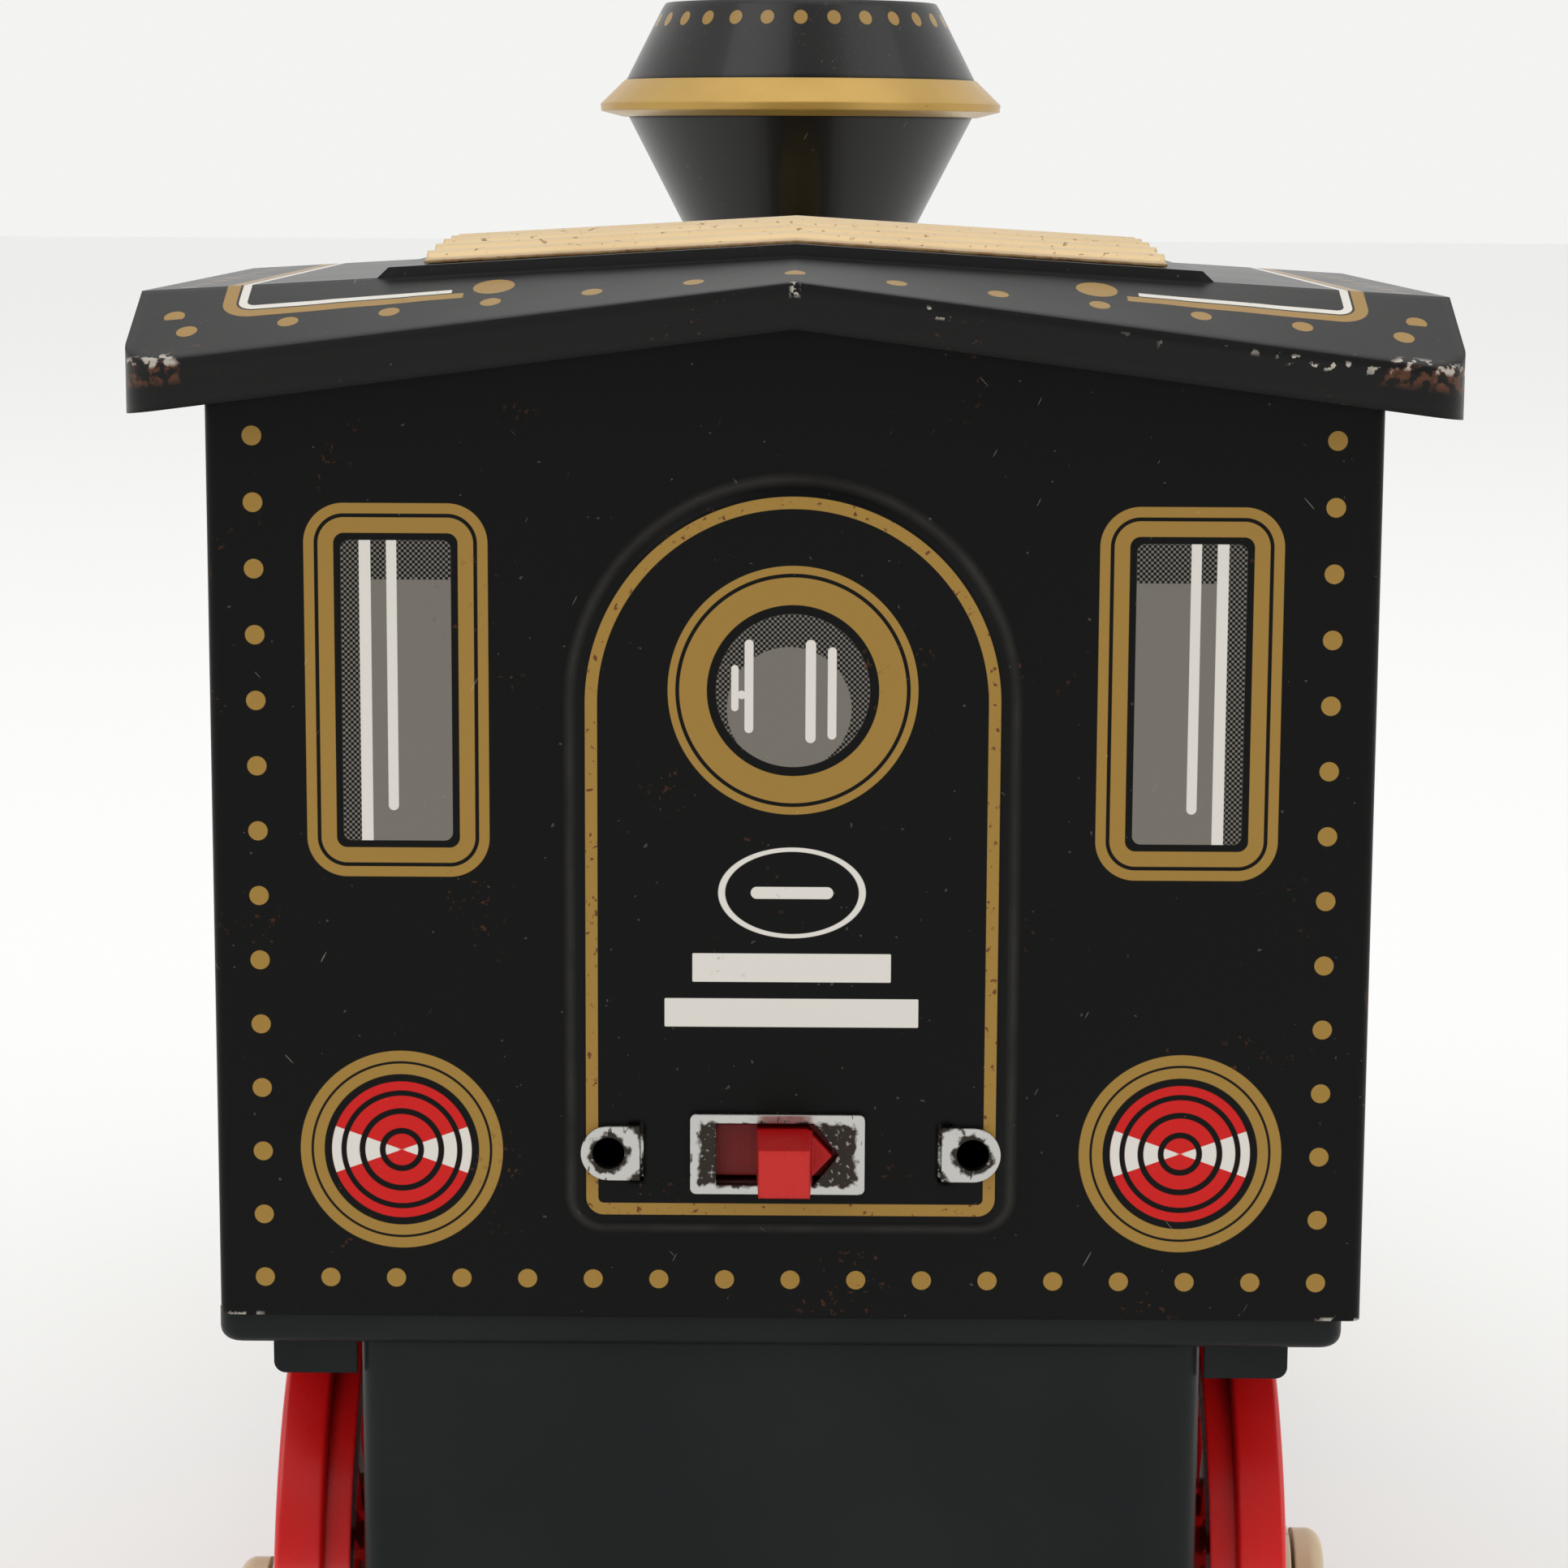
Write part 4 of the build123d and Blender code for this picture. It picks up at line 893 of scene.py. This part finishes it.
@dataclass(frozen=True)
class KnobPlastic:
    """Red plastic: lighter red on its rear face, in streaks, as painted light on that face with finger wear;
    darker red further into the slot as painted shade.
    """

    name: str = "red_knob_plastic"
    front: Colour = (0.50, 0.020, 0.017)
    body: Colour = (0.42, 0.006, 0.007)
    slot_shade_colour: Colour = (0.19, 0.010, 0.009)

    def build(self) -> Material:
        """Make the material."""
        f = Finish(self.name, roughness=0.3, gloss=0.22)
        reach = span_of("switch_slider")[1].y
        lines = f.noise(1.2, 3.0, (3.0, 1.0, 0.3))
        # Lighter red streaks over the rear face: painted light on that face, together with finger wear.
        worn = f.above(f.calc("MULTIPLY_ADD", lines, 1.2, f.minus(f.y, reach + 0.6)), -0.35, 0.5)
        colour = f.over(self.body, worn, self.front)
        # Darker red further into the slot: painted shade of the recess.
        slot = f.below(f.y, REAR + DOOR_RAISE - 0.6, 0.8)
        colour = f.over(colour, slot, self.slot_shade_colour)
        f.rough(f.span(lines, 0.24, 0.44))
        f.relief(lines, 0.03, 0.25)
        return f.colour(colour)


@dataclass(frozen=True)
class RodPrint:
    """Brown printed rods with cream ends and gold edges; cream crank-pin heads."""

    name: str = "printed_rod"

    def build(self) -> Material:
        """Make the material."""
        f = Finish(self.name, gloss=0.35)
        side = []
        for rod in ("side_rod_left", "side_rod_right"):
            low, high = span_of(rod)
            half = (high.z - low.z) / 2
            middle = ((low.y + high.y) / 2, (low.z + high.z) / 2)
            reach = (high.y - low.y) / 2 - half
            ends = f.length(f.minus(f.away(f.y, middle[0]), reach), f.minus(f.z, middle[1]))
            side.append(ends)
        on_left = f.below(f.x, 0.0, 0.1)
        right = f.times(side[1], f.minus(1.0, on_left))
        ends = f.calc("ADD", f.times(side[0], on_left), right)
        colour = f.over(Ink.BROWN.value, f.below(ends, 7.4), Ink.GOLD)
        colour = f.over(colour, f.below(ends, 6.4), Ink.CREAM)
        scuff = f.patchy((0.9, 4.0, 0.62, 0.04), (0.12, 0.5, 0.1))
        f.rough(f.span(f.noise(0.2, 3.0), 0.26, 0.42))
        f.relief(f.noise(0.6, 3.0), 0.012, 0.3)
        return f.colour(f.over(colour, f.times(scuff, 0.5), Ink.RUST))


@dataclass(frozen=True)
class ClearLens:
    """Moulded clear plastic with faint rings."""

    name: str = "clear_lens"

    def build(self) -> Material:
        """Make the material."""
        f = Finish(self.name, roughness=0.08)
        f.shader.inputs["Transmission Weight"].default_value = 0.85
        f.shader.inputs["IOR"].default_value = 1.46
        f.colour(f.over((0.82, 0.80, 0.72), f.above(f.noise(0.8, 2.0), 0.6, 0.2), (0.7, 0.66, 0.55)))
        f.relief(f.noise(0.9, 2.0), 0.02)
        return f.material


class Dresser:
    """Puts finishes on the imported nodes."""

    def __init__(self) -> None:
        """Start with nothing dressed."""
        self.dressed: set[str] = set()

    def dress(self, material: Material, *names: str) -> None:
        """Assign one finish to nodes.

        Args:
            material: The finish.
            names: The nodes that take it.
        """
        for name in names:
            data = frame["nodes"][name].data
            data.materials.clear()
            data.materials.append(material)
            self.dressed.add(name)
            LOG.info("dressed %s with %s", name, material.name)

    def check(self) -> None:
        """Stop if a node was left plain."""
        left = sorted(set(frame["nodes"]) - self.dressed)
        if left:
            raise ValueError(f"plain nodes: {left}")


@dataclass
class TinBody:
    """Cab, roof, boiler, chimney and the other printed tin."""

    gold: PlainInk = PlainInk("gold_tin", (0.50, 0.31, 0.075), (0.42, 0.25, 0.055), (0.22, 0.38),
                              metallic=0.4, grain=0.6, specks=0.24)
    black: PlainInk = PlainInk("black_tin", (0.0045, 0.0055, 0.0052), (0.010, 0.011, 0.0105), (0.24, 0.42),
                               relief=0.012, specks=0.22)
    brown: PlainInk = PlainInk("brown_tin", (0.17, 0.048, 0.018), (0.12, 0.032, 0.013), (0.25, 0.42),
                               relief=0.012, specks=0.26)
    cream: PlainInk = PlainInk("cream_tin", (0.62, 0.50, 0.33), (0.52, 0.39, 0.23), (0.25, 0.42),
                               relief=0.012, specks=0.26)
    barrel_bands: tuple[float, ...] = (58.5, 21.5, -28.0)
    barrel_rivets: tuple[float, ...] = (54.0, 26.0, 17.0, -23.5, -32.5)

    def dress(self, dresser: Dresser) -> None:
        """Dress the tin nodes."""
        dresser.dress(BackWallPrint().build(), "cab_shell")
        dresser.dress(RoofPrint().build(), "cab_roof")
        dresser.dress(VentPrint().build(), "roof_vent")
        barrel = BoilerPrint("printed_boiler", self.barrel_bands, rivet_rows=self.barrel_rivets)
        dresser.dress(barrel.build(), "boiler_shell")
        box_low, box_high = span_of("smokebox")
        front = BoilerPrint("printed_smokebox", rivet_rows=(box_low.y + 2.4, box_high.y - 2.4))
        dresser.dress(front.build(), "smokebox")
        dresser.dress(DoorPrint().build(), "smokebox_door")
        dresser.dress(StackPrint("glossy_stack", 0.0).build(), "stack_base")
        dresser.dress(StackPrint("printed_cap", STACK_HIGH.z - 2.2).build(), "stack_top")
        gold = self.gold.build()
        dresser.dress(gold, "stack_ring", "bell_yoke", "steam_dome", "sand_dome")
        dresser.dress(self.black.build(), "headlamp_bracket", "cylinder_saddle", "truck_frame")
        board = LinedTin("lined_running_board", "running_board", Ink.BLACK.value)
        dresser.dress(board.build(), "running_board")
        beam = LinedTin("lined_pilot_beam", "pilot_beam", (0.17, 0.048, 0.018), ("x", "z"), 1.4, 0.8)
        dresser.dress(beam.build(), "pilot_beam")
        dresser.dress(self.brown.build(), "pilot")
        dresser.dress(CylinderPrint().build(), "cylinders")
        dresser.dress(self.cream.build(), "driven_pins", "trailing_pin_left", "trailing_pin_right")
        dresser.dress(RodPrint().build(), "side_rod_left", "side_rod_right")


@dataclass
class Plastics:
    """Moulded parts."""

    wheel: PlainInk = PlainInk("red_wheel_plastic", (0.64, 0.006, 0.006), (0.55, 0.005, 0.005), (0.20, 0.36),
                               grain=0.3, relief=0.006, coat=0.4)
    box: PlainInk = PlainInk("battery_box_plastic", (0.0075, 0.01, 0.01), (0.0105, 0.013, 0.013), (0.3, 0.46),
                             grain=0.9, relief=0.02, gloss=0.13)
    dark: PlainInk = PlainInk("dark_plastic", (0.050, 0.006, 0.006), (0.035, 0.005, 0.005), (0.3, 0.5),
                              grain=0.9, relief=0.02)
    nylon: PlainInk = PlainInk("gear_nylon", (0.70, 0.68, 0.60), (0.62, 0.59, 0.50), (0.35, 0.5),
                               grain=0.9)

    def dress(self, dresser: Dresser) -> None:
        """Dress the plastic nodes."""
        dresser.dress(self.wheel.build(), "driven_wheel_left", "driven_wheel_right", "trailing_wheel_left",
                      "trailing_wheel_right", "truck_wheels_front", "truck_wheels_rear")
        dresser.dress(LampPrint().build(), "headlamp_body")
        dresser.dress(KnobPlastic().build(), "switch_slider")
        dresser.dress(self.box.build(), "battery_box", "battery_lid", "cab_pan", "fenders", "stack_screen")
        dresser.dress(self.dark.build(), "switch_housing")
        dresser.dress(self.nylon.build(), "axle_gear", "idler_gear")
        dresser.dress(ClearLens().build(), "headlamp_lens", "headlamp_bulb")


@dataclass
class Metals:
    """Plated, bare and turned metal parts."""

    steel: WornMetal = WornMetal("zinc_steel", (0.56, 0.56, 0.55), (0.34, 0.32, 0.29), (0.26, 0.46), 0.60)
    brass: WornMetal = WornMetal("old_brass", (0.62, 0.42, 0.15), (0.30, 0.18, 0.06), (0.18, 0.40), 0.60)
    jacket: PlainInk = PlainInk("cell_jacket", (0.40, 0.045, 0.026), (0.32, 0.035, 0.020), (0.25, 0.4),
                                metallic=0.3, specks=0.1)

    def dress(self, dresser: Dresser) -> None:
        """Dress the metal nodes."""
        low, high = span_of("switch_bezel")
        bezel = RubbedPlate("rubbed_bezel", (((low.x + high.x) / 2, (low.z + high.z) / 2),),
                            ((high.x - low.x) / 2, (high.z - low.z) / 2), 0.9, 0.75)
        dresser.dress(bezel.build(), "switch_bezel")
        low, high = span_of("lug_strap")
        reach = (high.x - low.x) / 2
        eye = 2.3
        centres = tuple((side.value * (reach - eye), low.z + eye) for side in Side)
        lugs = RubbedPlate("rubbed_lugs", centres, (eye, eye), eye, 0.60)
        dresser.dress(lugs.build(), "lug_strap")
        dresser.dress(self.brass.build(), "bell", "motor_pinion")
        dresser.dress(self.jacket.build(), "battery_cells")
        dresser.dress(self.steel.build(), "handrails", "lid_pin", "battery_contacts", "frame_channel",
                      "truck_pivot", "saddle_screws", "gearbox_plates", "motor_can", "axle_studs",
                      "driven_axle", "motor_shaft", "truck_axle_front", "truck_axle_rear")


class Modeller:
    """Small helpers round Blender's own operators."""

    @staticmethod
    def start(name: str) -> bpy.types.Object:
        """Name the new primitive and enter edit mode with nothing selected."""
        thing = bpy.context.object
        thing.name = name
        bpy.ops.object.mode_set(mode="EDIT")
        bpy.ops.mesh.select_mode(type="FACE")
        bpy.ops.mesh.select_all(action="DESELECT")
        return thing

    @staticmethod
    def clear() -> None:
        """Deselect every object."""
        bpy.ops.object.select_all(action="DESELECT")

    @staticmethod
    def pick(thing: bpy.types.Object, wanted: Callable[[bmesh.types.BMFace], bool]) -> None:
        """Select the faces that a test accepts.

        Args:
            thing: The object in edit mode.
            wanted: The test.
        """
        mesh = bmesh.from_edit_mesh(thing.data)
        for face in mesh.faces:
            face.select_set(wanted(face))
        bmesh.update_edit_mesh(thing.data)

    @staticmethod
    def close(thing: bpy.types.Object, material: Material, body: str, slot: str) -> None:
        """Leave edit mode, put the place into the mesh, and give the piece its finish and body.

        Args:
            thing: The piece.
            material: Its finish.
            body: The body it rides on.
            slot: The record's material slot; not used.
        """
        if thing.mode == "EDIT":
            bpy.ops.mesh.select_all(action="SELECT")
            bpy.ops.mesh.normals_make_consistent(inside=False)
            bpy.ops.object.mode_set(mode="OBJECT")
        bpy.ops.object.select_all(action="DESELECT")
        thing.select_set(True)
        bpy.context.view_layer.objects.active = thing
        bpy.ops.object.transform_apply(location=True, rotation=True, scale=True)
        bpy.ops.object.shade_smooth_by_angle(angle=math.radians(35))
        thing.data.materials.clear()
        thing.data.materials.append(material)
        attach(thing, body)
        LOG.info("made %s on %s", thing.name, body)


@dataclass
class HubCaps:
    """Domed nuts on the axle ends of the four driving wheels."""

    radius: float = 3.0
    height: float = 0.75
    sink: float = 0.9
    steps: tuple[Pair, ...] = ((0.5, 0.25), (0.9, 0.18), (0.35, -0.2))
    wheels: tuple[tuple[str, str, int], ...] = (
        ("driven_wheel_right", "driven_set", 1), ("driven_wheel_left", "driven_set", -1),
        ("trailing_wheel_right", "trailing_right", 1), ("trailing_wheel_left", "trailing_left", -1))

    def build(self, material: Material) -> None:
        """Turn each cap: washer, shoulder and dome.

        Args:
            material: The caps' finish.
        """
        for wheel, body, side in self.wheels:
            low, high = span_of(wheel)
            plane = (high.x if side > 0 else low.x) - side * self.sink
            centre = Vector((plane + side * self.height / 2, (low.y + high.y) / 2, (low.z + high.z) / 2)) * MM
            Modeller.clear()
            bpy.ops.mesh.primitive_cylinder_add(vertices=48, radius=self.radius * MM, depth=self.height * MM,
                                                location=centre, rotation=(0, math.radians(90), 0))
            cap = Modeller.start(f"hub_cap_{wheel.rpartition('_')[2]}_{body}")
            Modeller.pick(cap, lambda face: len(face.verts) > 4 and face.normal.z * side > 0.5)
            for inset, rise in self.steps:
                bpy.ops.mesh.inset(thickness=inset * MM)
                bpy.ops.transform.translate(value=(side * rise * MM, 0, 0))
            Modeller.close(cap, material, body, "bright_steel")


@dataclass
class FoldedTabs:
    """Bent tin tabs that hold the cab walls to the tray, on the tray's underside."""

    size: Triple = (3.2, 1.6, 0.4)
    rows: tuple[float, ...] = (0.16, 0.5, 0.84)
    lip: Triple = (0.5 * MM, 0, 0.3 * MM)

    def build(self, material: Material) -> None:
        """Model one tab and copy it along both sides.

        Args:
            material: The tabs' finish.
        """
        low, high = span_of("cab_pan")
        inset = 1.8
        first = None
        for side in Side:
            edge = high.x - inset if side is Side.RIGHT else low.x + inset
            for number, share in enumerate(self.rows):
                place = Vector((edge, low.y + (high.y - low.y) * share, low.z - self.size[2] / 2)) * MM
                if first is None:
                    Modeller.clear()
                    bpy.ops.mesh.primitive_cube_add(size=MM, location=place, scale=self.size)
                    first = Modeller.start("tray_tab_1_0")
                    Modeller.pick(first, lambda face: face.normal.x > 0.5)
                    bpy.ops.mesh.inset(thickness=0.05 * MM)
                    bpy.ops.mesh.extrude_region_move(TRANSFORM_OT_translate={"value": self.lip})
                    bpy.ops.mesh.select_all(action="SELECT")
                    bpy.ops.mesh.bevel(offset=0.08 * MM, segments=2)
                    Modeller.close(first, material, "loco", "black_tin")
                    home = place
                    continue
                copy = first.copy()
                copy.data = first.data.copy()
                copy.name = f"tray_tab_{side.value % 3}_{number}"
                bpy.context.scene.collection.objects.link(copy)
                copy.data.transform(Matrix.Translation(place - home))
                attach(copy, "loco")


@dataclass
class LidLatch:
    """The coin-slot latch of the battery lid."""

    radius: float = 5.0
    height: float = 0.5
    recess: float = 0.6
    from_rear: float = 26.0

    def build(self, material: Material) -> None:
        """Model a raised disc with a slot across it.

        Args:
            material: The latch's finish.
        """
        low, high = span_of("battery_lid")
        plate = span_of("battery_box")[0].z + self.recess
        centre = Vector(((low.x + high.x) / 2, high.y - self.from_rear, plate - self.height / 2)) * MM
        Modeller.clear()
        bpy.ops.mesh.primitive_cylinder_add(vertices=64, radius=self.radius * MM, depth=self.height * MM,
                                            location=centre)
        latch = Modeller.start("lid_latch")
        Modeller.pick(latch, lambda face: face.normal.z < -0.5)
        bpy.ops.mesh.inset(thickness=0.6 * MM)
        bpy.ops.transform.translate(value=(0, 0, 0.25 * MM))
        bpy.ops.mesh.inset(thickness=2.4 * MM)
        bpy.ops.transform.resize(value=(2.2, 0.6, 1.0))
        bpy.ops.mesh.extrude_region_move(TRANSFORM_OT_translate={"value": (0, 0, 0.2 * MM)})
        Modeller.close(latch, material, "lid", "grey_plastic")


@dataclass
class Studio:
    """Floor, dark flag, lamps, sky and camera, placed from the object's own box."""

    sky: float = 0.90
    floor_size: float = 14.0
    camera_back: float = 311.4
    camera_side: float = -0.97
    camera_yaw: float = 180.30
    camera_roll: float = 0.27
    camera_height: float = 157.0
    camera_tilt: float = 80.93
    lens: float = 90.4
    lamps: tuple[tuple[str, Triple, float, float], ...] = (
        ("key", (0.9, 1.0, 1.5), 1.2, 5.5), ("fill", (-1.2, 0.6, 1.1), 1.2, 3.0),
        ("top", (0.0, -0.2, 1.8), 1.6, 5.0))

    def add_floor(self) -> None:
        """Lay the pale floor under the wheels."""
        bpy.ops.mesh.primitive_plane_add(size=self.floor_size, location=(0, 0, CAD_BOX[0].z))
        floor = bpy.context.object
        floor.name = "floor"
        f = Finish("pale_floor", roughness=0.8)
        f.shader.inputs["Emission Color"].default_value = (1.0, 1.0, 0.99, 1.0)
        f.shader.inputs["Emission Strength"].default_value = 0.23
        f.shader.inputs["Specular IOR Level"].default_value = 0.1
        f.colour(f.over((0.67, 0.67, 0.66), f.times(f.noise(0.01, 2.0), 0.1), (0.65, 0.65, 0.64)))
        floor.data.materials.append(f.material)

    def add_flag(self) -> None:
        """Hang a dark card behind the camera, seen only in reflections."""
        height = 3.0
        place = (0, CAD_BOX[1].y + 2.2, CAD_BOX[0].z + 0.55 + height / 2)
        bpy.ops.mesh.primitive_plane_add(size=height, location=place, rotation=(math.radians(90), 0, 0))
        flag = bpy.context.object
        flag.name = "flag"
        f = Finish("flag_cloth", roughness=1.0)
        f.colour(f.over((0.01, 0.01, 0.01), f.noise(0.1), (0.02, 0.02, 0.02)))
        flag.data.materials.append(f.material)
        flag.visible_camera = False
        flag.visible_diffuse = False
        flag.visible_shadow = False

    def add_lamp(self, name: str, place: Triple, size: float, watts: float) -> None:
        """Add a soft square lamp aimed at the middle of the object.

        Args:
            name: The lamp's name.
            place: Where it hangs, in metres.
            size: Its side.
            watts: Its power.
        """
        bpy.ops.object.light_add(type="AREA", location=place)
        lamp = bpy.context.object
        lamp.name = name
        lamp.data.size = size
        lamp.data.energy = watts
        middle = (CAD_BOX[0] + CAD_BOX[1]) / 2
        lamp.rotation_euler = (middle - Vector(place)).to_track_quat("-Z", "Y").to_euler()

    def add_sky(self) -> None:
        """Surround the scene with an even pale sky."""
        world = bpy.data.worlds.new("studio_sky")
        world.use_nodes = True
        world.node_tree.nodes["Background"].inputs["Color"].default_value = (1.0, 1.0, 0.99, 1.0)
        world.node_tree.nodes["Background"].inputs["Strength"].default_value = self.sky
        bpy.context.scene.world = world

    def add_camera(self) -> None:
        """Place the camera behind the cab."""
        back, height = self.camera_back * MM, self.camera_height * MM
        place = (self.camera_side * MM, CAD_BOX[1].y + back, CAD_BOX[0].z + height)
        aim = Euler((math.radians(self.camera_tilt), 0.0, math.radians(self.camera_yaw))).to_matrix()
        roll = Matrix.Rotation(math.radians(self.camera_roll), 3, "Z")
        bpy.ops.object.camera_add(location=place, rotation=(aim @ roll).to_euler())
        camera = bpy.context.object
        camera.data.lens = self.lens
        bpy.context.scene.camera = camera

    def build(self) -> None:
        """Make the whole set."""
        self.add_camera()
        self.add_floor()
        self.add_flag()
        self.add_sky()
        for lamp in self.lamps:
            self.add_lamp(*lamp)
        bpy.context.scene.view_settings.view_transform = "Standard"


def main() -> None:
    """Build the set and dress the locomotive."""
    logging.basicConfig(level=logging.INFO)
    Studio().build()
    dresser = Dresser()
    TinBody().dress(dresser)
    Plastics().dress(dresser)
    metals = Metals()
    metals.dress(dresser)
    dresser.check()
    steel = metals.steel.build()
    HubCaps().build(steel)
    FoldedTabs().build(TinBody().black.build())
    LidLatch().build(Plastics().box.build())


if __name__ == "__main__":
    main()
